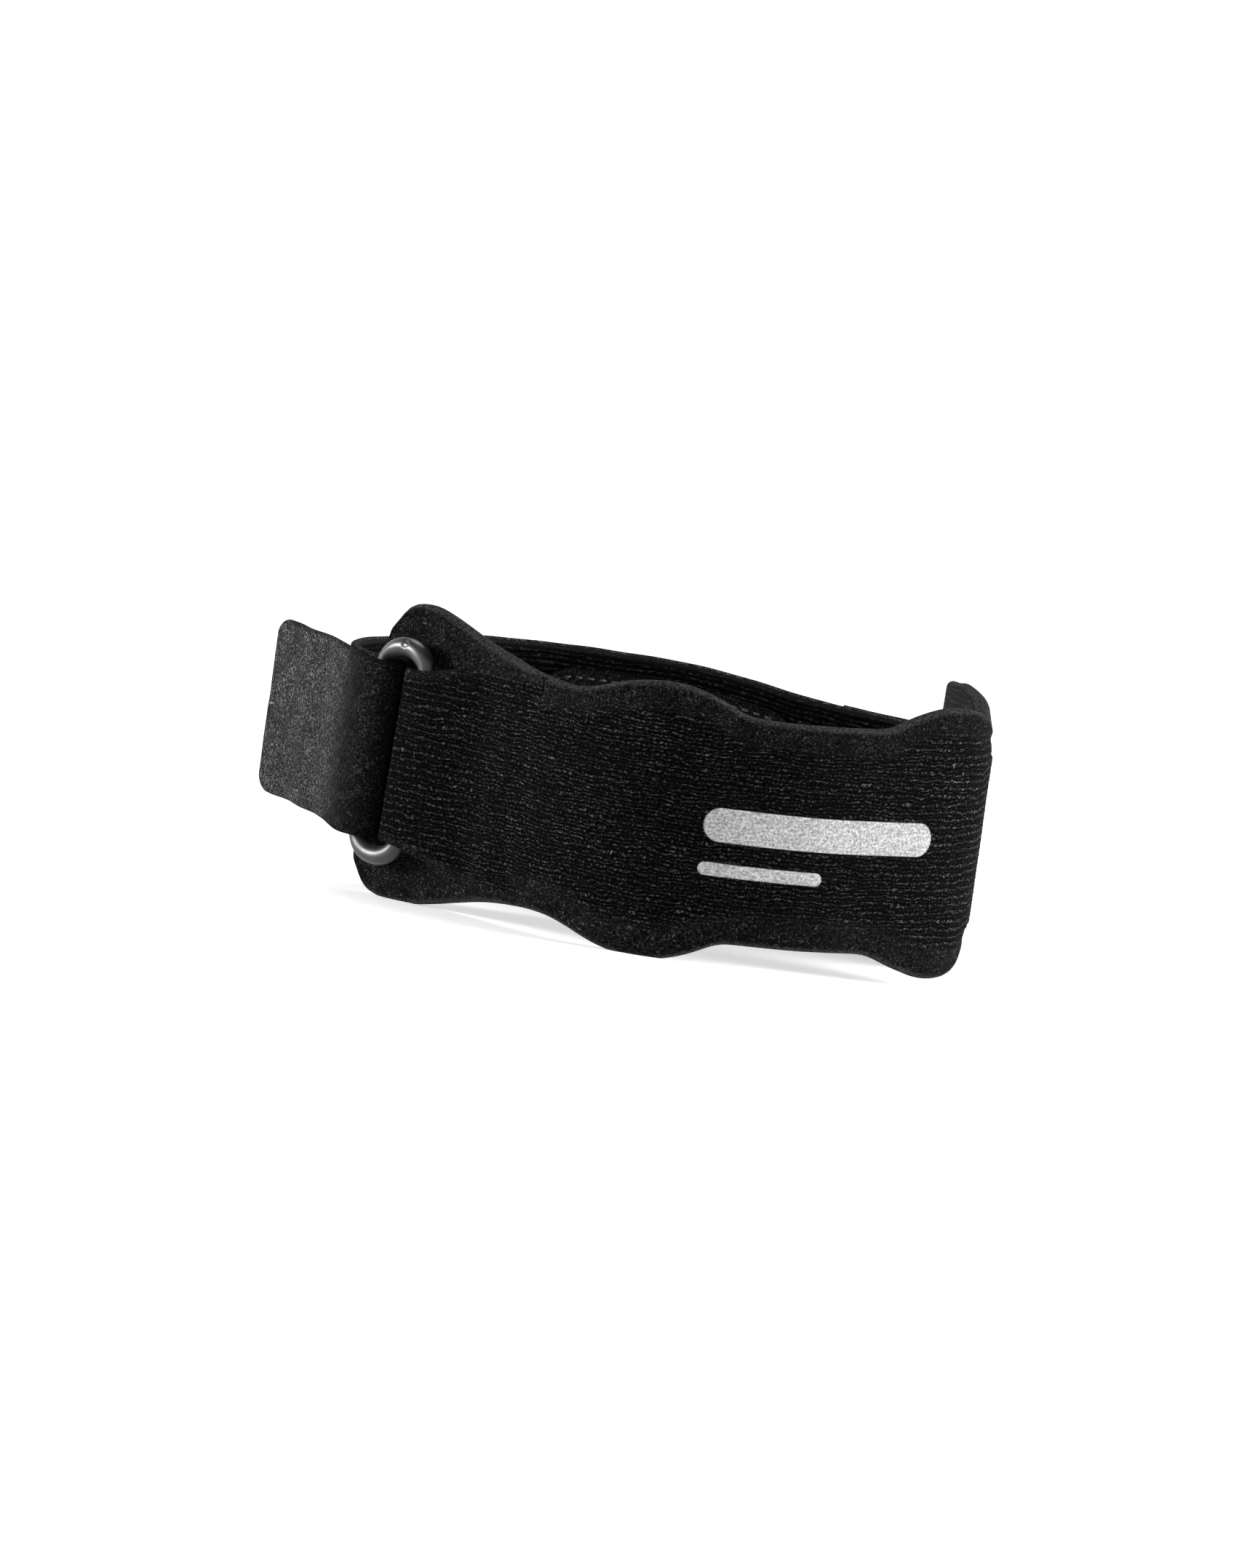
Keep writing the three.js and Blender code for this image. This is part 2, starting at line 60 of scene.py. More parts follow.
FLAP_SLACK = 0.9
SEWN_END = 24.0
FLAP_BEND = RING_TUBE / 2 + 0.4 + FLAP_THICK / 2
STRAP_BEND = RING_TUBE / 2 + 0.62 + STRAP_THICK / 2

PANEL_PLAN = [  # x, y
    (-49.5, 51.0), (-44.5, 46.2), (-39.0, 41.0), (-30.0, 31.5), (-20.8, 18.6), (-7.2, 5.2),
    (7.5, 0.0), (19.1, 0.4), (35.1, 4.1), (45.6, 10.5), (55.5, 18.0), (62.0, 25.5),
    (64.7, 35.0), (65.1, 45.5), (64.5, 56.5), (62.9, 67.0), (61.2, 76.5), (60.5, 85.0), (60.8, 95.0)]
PANEL_OUTLINE = [  # distance from the middle, half height
    (0.0, 20.8), (11.0, 20.8), (14.8, 21.2), (18.0, 22.6), (22.0, 24.2), (26.0, 25.1), (30.0, 25.3),
    (34.5, 24.9), (39.0, 23.9), (43.5, 22.5), (48.0, 21.5), (53.0, 21.2), (59.0, 21.6), (66.0, 22.5),
    (72.5, 23.8), (79.0, 25.4), (85.0, 26.9), (90.0, 27.9), (94.5, 28.2), (98.0, 27.7), (101.0, 26.2),
    (103.2, 23.6), (104.6, 20.4), (105.3, 15.5)]
FLAP_RISE = [  # s, d, half height
    (38.5, 0.95, 20.4), (34.5, 1.1, 20.2), (30.5, 2.3, 19.4), (26.0, 4.3, 18.2), (21.5, 5.85, 17.0)]
FLAP_RETURN = [(20.0, 1.05, 16.3), (25.0, 1.0, 16.3)]
TAB_PLAN = [  # x, y
    (-69.0, 83.2), (-65.0, 76.2), (-61.2, 69.2), (-57.6, 62.0), (-54.6, 54.0), (-52.6, 47.2)]
BACK_PLAN = [  # x, y, drop
    (-50.4, 49.7, 0.0), (-52.7, 54.6, 0.0), (-53.8, 61.2, 0.0), (-52.6, 68.0, 0.0), (-48.9, 75.4, 0.0),
    (-41.0, 87.4, 0.0), (-32.0, 96.0, 0.0), (-20.0, 101.0, 0.0), (-5.3, 102.8, 0.1), (10.5, 102.8, 0.7),
    (18.4, 102.2, 1.5), (26.2, 101.2, 2.7), (33.9, 100.0, 3.7), (41.6, 99.2, 4.4), (49.2, 98.7, 5.0),
    (56.0, 97.8, 5.6)]


def turn(axis, degrees):
    return np.array(Matrix.Rotation(math.radians(degrees), 3, axis), float)


STANCE = turn("X", STANCE_X) @ turn("Y", STANCE_Y)


def place(points):
    """Layout millimetres to the row frame in metres."""
    return (np.asarray(points, float) @ STANCE.T + SHIFT) / 1000.0


def ease(t):
    t = np.clip(t, 0, 1)
    return t * t * (3 - 2 * t)


def spline(knots, values):
    """Natural cubic spline, for arrays."""
    k, v = np.asarray(knots, float), np.asarray(values, float)
    n, h = len(k), np.diff(np.asarray(knots, float))
    a, rhs = np.eye(n), np.zeros(n)
    for i in range(1, n - 1):
        a[i, i - 1:i + 2] = h[i - 1], 2 * (h[i - 1] + h[i]), h[i]
        rhs[i] = 6 * ((v[i + 1] - v[i]) / h[i] - (v[i] - v[i - 1]) / h[i - 1])
    m = np.linalg.solve(a, rhs)

    def at(t):
        t = np.asarray(t, float)
        i = np.clip(np.searchsorted(k, t, side="left") - 1, 0, n - 2)
        p, q = (k[i + 1] - t) / h[i], (t - k[i]) / h[i]
        return p * v[i] + q * v[i + 1] + ((p**3 - p) * m[i] + (q**3 - q) * m[i + 1]) * h[i]**2 / 6
    return at


class Plan:
    """A plan curve through rows of x, y, drop, half, measured by arc length."""

    def __init__(self, rows):
        rows = np.array([(*r, *([0.0] * (4 - len(r)))) for r in rows], float)
        chord = np.concatenate([[0], np.cumsum(np.hypot(*np.diff(rows[:, :2], axis=0).T))])
        self.f = [spline(chord, rows[:, i]) for i in range(4)]
        self.t = np.linspace(0, chord[-1], 2401)
        step = np.hypot(np.diff(self.f[0](self.t)), np.diff(self.f[1](self.t)))
        self.arc = np.concatenate([[0], np.cumsum(step)])
        self.length = self.arc[-1]

    def at(self, s):
        s = np.asarray(s, float)
        c = np.clip(s, 0, self.length)
        t, e = np.interp(c, self.arc, self.t), 0.05
        tx, ty = self.f[0](t + e) - self.f[0](t - e), self.f[1](t + e) - self.f[1](t - e)
        l = np.hypot(tx, ty)
        tx, ty = tx / l, ty / l
        return dict(x=self.f[0](t) + (s - c) * tx, y=self.f[1](t) + (s - c) * ty, tx=tx, ty=ty,
                    nx=ty, ny=-tx, drop=self.f[2](t), half=self.f[3](t))


panel = Plan(PANEL_PLAN)
outline = spline(*zip(*PANEL_OUTLINE))
HALF_RUN = PANEL_OUTLINE[-1][0]


def panel_drop(s):
    return RIGHT_DROP * ease((np.asarray(s, float) - (MIDDLE + 42)) / 48)


def panel_dent(s):
    return RIGHT_DENT * ease((np.asarray(s, float) - (MIDDLE + 68)) / 14)


def on_panel(s, d, side=1):
    """x, y, drop at s and d; side -1 counts s from the right end."""
    along = MIDDLE - HALF_RUN + s if side > 0 else MIDDLE + HALF_RUN - s
    p, d = panel.at(along), d - float(panel_dent(along))
    return (float(p["x"] + p["nx"] * d), float(p["y"] + p["ny"] * d),
            float(panel_drop(along)) + (RING_SAG if side < 0 else 0))


def ring_frame(side):
    inner = np.array(on_panel(BAR_S, BAR_D, side))
    s = BAR_S - RING_PITCH
    for _ in range(40):
        outer = np.array(on_panel(s, BAR_OUTER_D, side))
        s += (np.hypot(*(outer - inner)[:2]) - RING_PITCH) * 0.8
    u = (outer - inner)[:2] / RING_PITCH
    return dict(inner=inner, outer=outer, u=u, mid=(inner + outer)[:2] / 2, drop=inner[2])


left_ring, right_ring = ring_frame(1), ring_frame(-1)


def lean_left(rows, amount):
    """Lean round the left ring, fading out along the cloth."""
    rows, f = np.array(rows, float), left_ring
    t = (np.hypot(rows[..., 0] - f["mid"][0], rows[..., 1] - f["mid"][1]) - 9) / 14
    q = -amount * rows[..., 2] * (1 - ease(t))
    rows[..., 0] += f["u"][0] * q
    rows[..., 1] += f["u"][1] * q
    return rows


# ---------------------------------------------------------------- mesh building
def build(name, rows, attributes, materials, face_slot=None, closed=False):
    """A closed skin over rows of sections. rows is (n, m, 3) in layout mm, each row a
    closed section; attributes are (n, m, k). face_slot gives each section step its slot."""
    rows = np.asarray(rows, float)
    n, m = rows.shape[:2]
    co = place(rows.reshape(-1, 3))
    i, j = np.meshgrid(np.arange(n if closed else n - 1), np.arange(m), indexing="ij")
    a, b = i * m + j, i * m + (j + 1) % m
    c, d = ((i + 1) % n) * m + j, ((i + 1) % n) * m + (j + 1) % m
    faces = np.stack([a, c, d, b], -1).reshape(-1, 4).tolist()
    slots = np.zeros(len(faces), np.int32)
    if face_slot is not None:
        slots = np.broadcast_to(np.asarray(face_slot, np.int32), (i.shape[0], m)).reshape(-1).copy()
    slots = slots.tolist()
    if not closed:
        faces.append(list(range(m)))
        faces.append(list(range((n - 1) * m, n * m))[::-1])
        slots += [0, 0]
    mesh = bpy.data.meshes.new(name)
    mesh.from_pydata([tuple(p) for p in co], [], faces)
    for key, value in attributes.items():
        value = np.asarray(value, np.float32)
        if value.ndim == 2:
            mesh.attributes.new(key, "FLOAT", "POINT").data.foreach_set("value", value.ravel())
        else:
            mesh.attributes.new(key, "FLOAT_VECTOR", "POINT").data.foreach_set("vector", value.reshape(-1))
    for material in materials:
        mesh.materials.append(material)
    mesh.polygons.foreach_set("material_index", np.array(slots, np.int32))
    mesh.polygons.foreach_set("use_smooth", np.ones(len(faces), bool))
    mesh.update()
    work = bmesh.new()
    work.from_mesh(mesh)
    ends = [f for f in work.faces if len(f.verts) > 4]
    if ends:
        bmesh.ops.triangulate(work, faces=ends)
    bmesh.ops.recalc_face_normals(work, faces=work.faces)
    work.to_mesh(mesh)
    work.free()
    piece = bpy.data.objects.new(name, mesh)
    bpy.context.scene.collection.objects.link(piece)
    return piece


def loop_section(n_face, n_back, steps):
    """Parameters of a round-edged section, once round: the front face going up, the top
    edge, the back face going down, the bottom edge. Returns (side, up, angle) columns."""
    out = []
    for u in np.linspace(0, 1, n_face):
        out.append((0, u, 0.0))
    for i in range(1, steps * 2):
        out.append((1, 1.0, 180 * i / (steps * 2)))
    for u in np.linspace(1, 0, n_back):
        out.append((2, u, 180.0))
    for i in range(1, steps * 2):
        out.append((3, 0.0, 180 + 180 * i / (steps * 2)))
    return np.array(out)


def section_points(table, half, low, high, corner):
    """d and z of the section's points for arrays of half thickness, low, high (n, 1)."""
    side, up, angle = table[:, 0][None], table[:, 1][None], np.radians(table[:, 2])[None]
    corner = np.minimum(corner, half * 0.98)
    z = low + corner + (high - low - 2 * corner) * up
    d = np.where(side == 0, half, np.where(side == 2, -half, 0.0))
    # edges are half ellipses: the thickness wide, the corner high
    d = np.where((side == 1) | (side == 3), half * np.cos(angle), d)
    z = np.where(side == 1, high - corner + corner * np.sin(angle), z)
    z = np.where(side == 3, low + corner + corner * np.sin(angle), z)
    return d, z


def waves(s, z, seed, rows):
    """Smooth unevenness of cloth: a sum of a few slanted sines, amplitude about one."""
    rng = np.random.default_rng(seed)
    total = 0
    for long, high in rows:
        a, b, c = rng.uniform(0, 6.28, 3)
        total = total + np.sin(6.2832 * s / long + a + 0.8 * np.sin(6.2832 * z / high + b)) * np.cos(6.2832 * z / (2.3 * high) + c)
    return total / len(rows)


# ------------------------------------------------------------------- materials
class Nodes:
    """Short calls for one material's node tree."""

    def __init__(self, name):
        self.material = bpy.data.materials.new(name)
        self.material.use_nodes = True
        self.tree = self.material.node_tree
        self.shader = self.tree.nodes["Principled BSDF"]

    def new(self, kind, **settings):
        node = self.tree.nodes.new(kind)
        for key, value in settings.items():
            setattr(node, key, value)
        return node

    def put(self, socket, value):
        if isinstance(value, bpy.types.NodeSocket):
            self.tree.links.new(value, socket)
        else:
            socket.default_value = value

    def math(self, operation, a, b=0.0, c=None, clamp=False):
        node = self.new("ShaderNodeMath", operation=operation, use_clamp=clamp)
        self.put(node.inputs[0], a)
        self.put(node.inputs[1], b)
        if c is not None:
            self.put(node.inputs[2], c)
        return node.outputs[0]

    def vector(self, x, y, z=0.0):
        node = self.new("ShaderNodeCombineXYZ")
        for socket, value in zip(node.inputs, (x, y, z)):
            self.put(socket, value)
        return node.outputs[0]

    def scaled(self, vector, by):
        node = self.new("ShaderNodeVectorMath", operation="MULTIPLY")
        self.put(node.inputs[0], vector)
        node.inputs[1].default_value = by
        return node.outputs[0]

    def noise(self, vector, scale, detail=2.0, rough=0.5, warp=0.0):
        node = self.new("ShaderNodeTexNoise")
        self.put(node.inputs["Vector"], vector)
        node.inputs["Scale"].default_value = scale
        node.inputs["Detail"].default_value = detail
        node.inputs["Roughness"].default_value = rough
        node.inputs["Distortion"].default_value = warp
        return node.outputs["Fac"]

    def ramp(self, value, low, high, to_low=0.0, to_high=1.0):
        node = self.new("ShaderNodeMapRange", interpolation_type="SMOOTHSTEP", clamp=True)
        for key, v in (("Value", value), ("From Min", low), ("From Max", high), ("To Min", to_low), ("To Max", to_high)):
            self.put(node.inputs[key], v)
        return node.outputs[0]

    def mix(self, share, a, b):
        node = self.new("ShaderNodeMix", data_type="RGBA")
        self.put(node.inputs[0], share)
        self.put(node.inputs[6], a if not isinstance(a, tuple) else (*a, 1.0))
        self.put(node.inputs[7], b if not isinstance(b, tuple) else (*b, 1.0))
        return node.outputs[2]

    def attribute(self, name):
        node = self.new("ShaderNodeAttribute", attribute_name=name)
        return node

    def split(self, vector):
        node = self.new("ShaderNodeSeparateXYZ")
        self.put(node.inputs[0], vector)
        return node.outputs

    def finish(self, colour, rough, height, distance, strength=1.0, **uniform):
        self.put(self.shader.inputs["Base Color"], colour)
        self.put(self.shader.inputs["Roughness"], rough)
        if height is not None:
            bump = self.new("ShaderNodeBump")
            bump.inputs["Strength"].default_value = strength
            bump.inputs["Distance"].default_value = distance
            self.put(bump.inputs["Height"], height)
            self.put(self.shader.inputs["Normal"], bump.outputs[0])
        for key, value in uniform.items():
            self.shader.inputs[key.replace("_", " ")].default_value = value
        return self.material


RIB = 0.72          # rib pitch of the knit; every second one stands a little higher
MARK = [            # plain printed bars on the right of the panel: s from, s to, z from, z to
    (85.0, 131.0, -2.4, 3.8), (85.0, 108.0, -8.6, -6.2)]


def knit_material():
    """Fine wavering ribs in the middle that fade into brushed, smooth margins."""
    m = Nodes("charcoal_rib_knit")
    s, z, mask = m.split(m.attribute("knit").outputs["Vector"])[:3]
    depth = m.attribute("depth").outputs["Fac"]
    place_mm = m.vector(s, z, depth)
    slow = m.noise(m.vector(m.math("MULTIPLY", s, 0.10), m.math("MULTIPLY", z, 0.22)), 1.0, 2.0)
    quick = m.noise(m.vector(m.math("MULTIPLY", s, 0.34), m.math("MULTIPLY", z, 0.5), 2.0), 1.0, 2.0, 0.6)
    zz = m.math("ADD", z, m.math("MULTIPLY", m.math("SUBTRACT", slow, 0.5), 1.6))
    zz = m.math("ADD", zz, m.math("MULTIPLY", m.math("SUBTRACT", quick, 0.5), 1.3))
    fine = m.math("COSINE", m.math("MULTIPLY", zz, 2 * math.pi / RIB))
    wide = m.math("COSINE", m.math("MULTIPLY", zz, math.pi / RIB))
    bold = m.math("MAXIMUM", m.ramp(s, 105.0, 160.0, 0.36, 0.62), m.ramp(s, 22.0, 48.0, 0.52, 0.36))
    rib = m.math("ADD", m.math("MULTIPLY", fine, m.math("SUBTRACT", 1.0, bold)), m.math("MULTIPLY", wide, bold))
    # the ribs break and run together
    broken = m.ramp(m.noise(m.vector(m.math("MULTIPLY", s, 0.55), m.math("MULTIPLY", zz, 1.5), 6.0), 1.0, 2.0, 0.6), 0.34, 0.60)
    crest = m.math("MULTIPLY", m.ramp(rib, -0.42, 0.42), m.math("ADD", m.math("MULTIPLY", broken, 0.62), 0.38))
    # single loops of yarn: pale grains, a little longer than high
    grain = m.noise(m.vector(m.math("MULTIPLY", s, 1.75), m.math("MULTIPLY", zz, 2.3)), 1.0, 3.0, 0.75, 0.2)
    salt = m.ramp(grain, 0.515, 0.585)
    bright = m.ramp(m.noise(m.vector(m.math("MULTIPLY", s, 0.9), m.math("MULTIPLY", zz, 1.4), 3.0), 1.0, 2.0, 0.6), 0.42, 0.64)
    pit = m.ramp(m.noise(m.vector(m.math("MULTIPLY", s, 1.3), m.math("MULTIPLY", zz, 2.0), 5.0), 1.0, 2.0, 0.7), 0.44, 0.56)
    # brushed fibres
    fuzz = m.noise(place_mm, 2.3, 3.0, 0.75, 0.3)
    hair = m.ramp(m.noise(m.vector(s, z, m.math("ADD", depth, 7.0)), 2.6, 3.0, 0.75, 0.6), 0.54, 0.63)
    patchy = m.noise(place_mm, 0.16, 3.0, 0.6)
    ribbed = m.mix(m.math("MULTIPLY", crest, pit), (0.0008, 0.0008, 0.0009), (0.0085, 0.0085, 0.0090))
    ribbed = m.mix(m.math("MULTIPLY", salt, m.math("MULTIPLY", m.math("ADD", m.math("MULTIPLY", crest, 0.92), 0.04), m.math("ADD", m.math("MULTIPLY", bright, 0.62), 0.38))), ribbed, m.mix(m.ramp(s, 95.0, 165.0), (0.115, 0.115, 0.118), (0.230, 0.230, 0.235)))
    brushed = m.mix(m.ramp(fuzz, 0.44, 0.62), (0.0012, 0.0012, 0.0013), (0.0120, 0.0120, 0.0126))
    brushed = m.mix(m.math("MULTIPLY", hair, m.math("ADD", m.math("MULTIPLY", bright, 0.55), 0.25)), brushed, (0.120, 0.120, 0.124))
    colour = m.mix(mask, brushed, ribbed)
    colour = m.mix(m.ramp(patchy, 0.36, 0.66, 0.0, 0.45), colour, (0.0012, 0.0012, 0.0013))
    # painted shade: the front bulge, which faces a little downwards, is darkened
    painted_bulge_shade = m.ramp(m.math("ABSOLUTE", m.math("SUBTRACT", s, 112.0)), 8.0, 42.0, 0.34, 0.0)
    colour = m.mix(painted_bulge_shade, colour, (0.0010, 0.0010, 0.0011))
    # painted highlight: within about a millimetre of the panel's outline the colour is lightened, where the rounded rim
    # catches the light
    rim = m.ramp(m.attribute("edge").outputs["Fac"], 0.15, 1.25, 0.70, 0.0)
    colour = m.mix(rim, colour, m.mix(m.ramp(fuzz, 0.38, 0.64), (0.012, 0.012, 0.0125), (0.075, 0.075, 0.078)))
    printed = None
    for s0, s1, z0, z1 in MARK:
        r = (z1 - z0) / 2
        dx = m.math("MAXIMUM", m.math("SUBTRACT", m.math("ABSOLUTE", m.math("SUBTRACT", s, (s0 + s1) / 2 + MIDDLE - HALF_RUN)), (s1 - s0) / 2 - r), 0.0)
        dz = m.math("SUBTRACT", z, (z0 + z1) / 2)
        away = m.math("SQRT", m.math("ADD", m.math("MULTIPLY", dx, dx), m.math("MULTIPLY", dz, dz)))
        one = m.ramp(away, r - 0.16, r + 0.10, 1.0, 0.0)
        printed = one if printed is None else m.math("MAXIMUM", printed, one)
    printed = m.math("MULTIPLY", printed, m.ramp(m.math("ADD", m.math("MULTIPLY", pit, 0.5), m.math("MULTIPLY", crest, 0.5)), 0.05, 0.40, 0.80, 1.0))
    printed = m.math("MULTIPLY", printed, m.math("GREATER_THAN", m.attribute("print").outputs["Fac"], 0.5))
    ink = m.mix(m.ramp(fuzz, 0.40, 0.62), (0.24, 0.24, 0.24), (0.50, 0.50, 0.50))
    colour = m.mix(printed, colour, ink)
    height = m.math("ADD", m.math("MULTIPLY", m.math("ADD", m.math("MULTIPLY", rib, 0.55), m.math("MULTIPLY", salt, 0.6)), mask),
                    m.math("ADD", m.math("MULTIPLY", fuzz, 1.1), m.math("MULTIPLY", hair, m.math("SUBTRACT", 1.0, mask))))
    height = m.math("ADD", height, m.math("MULTIPLY", patchy, 1.2))
    rough = m.ramp(fuzz, 0.3, 0.7, 0.82, 0.98)
    return m.finish(colour, rough, height, 0.00022, 0.8, Specular_IOR_Level=0.01, Sheen_Weight=0.004,
                    Sheen_Roughness=0.5, Sheen_Tint=(0.9, 0.9, 0.92, 1.0))


def velour_material(name, dark, light, tip, sheen):
    """Brushed loop velour: short curly fibres with pale tips, crushed into soft patches."""
    m = Nodes(name)
    s, z, edge = m.split(m.attribute("knit").outputs["Vector"])[:3]
    depth = m.attribute("depth").outputs["Fac"]
    where = m.vector(s, z, depth)
    pile = m.noise(where, 2.3, 3.0, 0.75, 0.3)
    curl = m.noise(m.vector(s, z, m.math("ADD", depth, 9.0)), 2.6, 3.0, 0.75, 0.6)
    tips = m.ramp(curl, 0.51, 0.61)
    nap = m.noise(m.vector(m.math("MULTIPLY", s, 0.16), m.math("MULTIPLY", z, 0.22)), 1.0, 3.0, 0.6)
    colour = m.mix(m.ramp(pile, 0.43, 0.60), dark, light)
    colour = m.mix(m.math("MULTIPLY", tips, 0.85), colour, tip)
    colour = m.mix(m.ramp(nap, 0.35, 0.70, 0.0, 0.5), colour, tuple(0.3 * x for x in light))
    # painted shade: the tab darkens towards its fold round the left ring and a little way past it
    painted_fold_shade = m.math("MULTIPLY", m.ramp(s, 27.0, 43.0), m.ramp(s, 50.0, 62.0, 1.0, 0.0))
    colour = m.mix(m.math("MULTIPLY", painted_fold_shade, 0.80), colour, tuple(0.35 * x for x in dark))
    # the woven selvedge at both long edges is darker
    colour = m.mix(m.ramp(edge, 0.2, 1.0, 0.35, 0.0), colour, tuple(0.5 * x for x in dark))
    height = m.math("ADD", pile, m.math("MULTIPLY", tips, 0.8))
    height = m.math("ADD", height, m.math("MULTIPLY", nap, 1.0))
    rough = m.ramp(pile, 0.3, 0.7, 0.85, 1.0)
    return m.finish(colour, rough, height, 0.00030, 1.0, Specular_IOR_Level=0.01, Sheen_Weight=sheen,
                    Sheen_Roughness=0.4, Sheen_Tint=(0.9, 0.9, 0.92, 1.0))


def band_inner_material():
    """Leg side of the strap: close ribbed weave, kept dark partly as painted shade for the inside of the loop."""
    m = Nodes("charcoal_band_inner")
    s, z, edge = m.split(m.attribute("knit").outputs["Vector"])[:3]
    slow = m.noise(m.vector(m.math("MULTIPLY", s, 0.08), m.math("MULTIPLY", z, 0.3)), 1.0, 2.0)
    zz = m.math("ADD", z, m.math("MULTIPLY", m.math("SUBTRACT", slow, 0.5), 1.6))
    rib = m.ramp(m.math("COSINE", m.math("MULTIPLY", zz, 2 * math.pi / 1.05)), -0.6, 0.8)
    grain = m.noise(m.vector(m.math("MULTIPLY", s, 1.1), m.math("MULTIPLY", zz, 2.3)), 1.0, 3.0, 0.75, 0.3)
    nap = m.noise(m.vector(s, z, 5.0), 0.11, 2.0)
    colour = m.mix(m.math("MULTIPLY", rib, m.ramp(grain, 0.38, 0.60)), (0.0012, 0.0012, 0.0013), (0.0095, 0.0095, 0.0100))
    colour = m.mix(m.math("MULTIPLY", m.ramp(grain, 0.55, 0.64), m.math("MULTIPLY", rib, 0.7)), colour, (0.060, 0.060, 0.062))
    colour = m.mix(m.ramp(nap, 0.35, 0.7, 0.0, 0.5), colour, (0.0015, 0.0015, 0.0016))
    colour = m.mix(m.ramp(edge, 0.5, 1.8, 0.5, 0.0), colour, (0.020, 0.020, 0.021))
    height = m.math("ADD", m.math("MULTIPLY", rib, 0.8), grain)
    return m.finish(colour, m.ramp(grain, 0.3, 0.7, 0.85, 1.0), height, 0.00022, 0.9, Specular_IOR_Level=0.01, Sheen_Weight=0.003)


def lining_material():
    """Inner face of the panel: a smooth fine jersey with a faint fine rib, its colours kept dark partly as painted
    shade for the inside of the loop.
    """
    m = Nodes("charcoal_lining")
    s, z, mask = m.split(m.attribute("knit").outputs["Vector"])[:3]
    grain = m.noise(m.vector(s, z, 3.0), 2.2, 3.0, 0.75, 0.4)
    sway = m.noise(m.vector(m.math("MULTIPLY", s, 0.12), m.math("MULTIPLY", z, 0.3), 8.0), 1.0, 2.0)
    wale = m.math("SINE", m.math("MULTIPLY", m.math("ADD", z, m.math("MULTIPLY", sway, 2.0)), 2 * math.pi / 1.1))
    course = m.math("SINE", m.math("MULTIPLY", m.math("ADD", s, m.math("MULTIPLY", grain, 0.6)), 2 * math.pi / 0.9))
    loops = m.math("ADD", m.math("MULTIPLY", wale, 0.65), m.math("MULTIPLY", m.math("MULTIPLY", wale, course), 0.35))
    nap = m.noise(m.vector(s, z, 1.0), 0.12, 2.0)
    colour = m.mix(m.math("MULTIPLY", m.ramp(grain, 0.40, 0.60), m.ramp(loops, -0.6, 0.5, 0.3, 1.0)), (0.0012, 0.0012, 0.0013), (0.0170, 0.0170, 0.0178))
    colour = m.mix(m.math("MULTIPLY", m.ramp(grain, 0.56, 0.64), m.ramp(loops, -0.2, 0.7)), colour, (0.075, 0.075, 0.077))
    colour = m.mix(m.ramp(nap, 0.3, 0.7, 0.0, 0.45), colour, (0.0016, 0.0016, 0.0017))
    height = m.math("ADD", m.math("MULTIPLY", loops, 0.4), grain)
    return m.finish(colour, m.ramp(grain, 0.3, 0.7, 0.8, 0.95), height, 0.00016, 0.9,
                    Specular_IOR_Level=0.03, Sheen_Weight=0.02, Sheen_Roughness=0.5)


def plastic_material():
    """Satin moulded nylon with a fine sparked grain and faint rubbed streaks."""
    m = Nodes("satin_black_nylon")
    where = m.new("ShaderNodeTexCoord").outputs["Object"]
    grain = m.noise(where, 5200.0, 2.0, 0.6)
    rub = m.noise(m.scaled(where, (1.0, 1.0, 0.25)), 420.0, 3.0, 0.6, 0.4)
    colour = m.mix(m.ramp(rub, 0.3, 0.75), (0.0085, 0.0085, 0.009), (0.018, 0.018, 0.019))
    rough = m.math("ADD", m.ramp(rub, 0.3, 0.75, 0.30, 0.40), m.math("MULTIPLY", grain, 0.06))
    return m.finish(colour, rough, m.math("ADD", grain, m.math("MULTIPLY", rub, 0.5)), 0.00003, 0.5,
                    Specular_IOR_Level=0.6)


def thread_material():
    """Twisted polyester sewing thread."""
    m = Nodes("black_thread")
    where = m.new("ShaderNodeTexCoord").outputs["Object"]
    twist = m.noise(m.scaled(where, (1.0, 1.0, 2.2)), 2600.0, 2.0, 0.6, 1.0)
    colour = m.mix(m.ramp(twist, 0.35, 0.65), (0.008, 0.008, 0.009), (0.045, 0.045, 0.048))
    return m.finish(colour, m.ramp(twist, 0.3, 0.7, 0.45, 0.7), twist, 0.00005, 0.8, Sheen_Weight=0.2)


knit = knit_material()
lining = lining_material()
velour = velour_material("charcoal_velour", (0.0036, 0.0036, 0.0038), (0.038, 0.038, 0.0395), (0.25, 0.25, 0.255), 0.01)
band_inner = band_inner_material()
# the patch's pile is given darker colours than the strap's velour, partly as painted shade for the inside of the loop
hook = velour_material("charcoal_patch_pile", (0.0018, 0.0018, 0.0019), (0.0120, 0.0120, 0.0126), (0.060, 0.060, 0.062), 0.005)
plastic = plastic_material()
thread = thread_material()


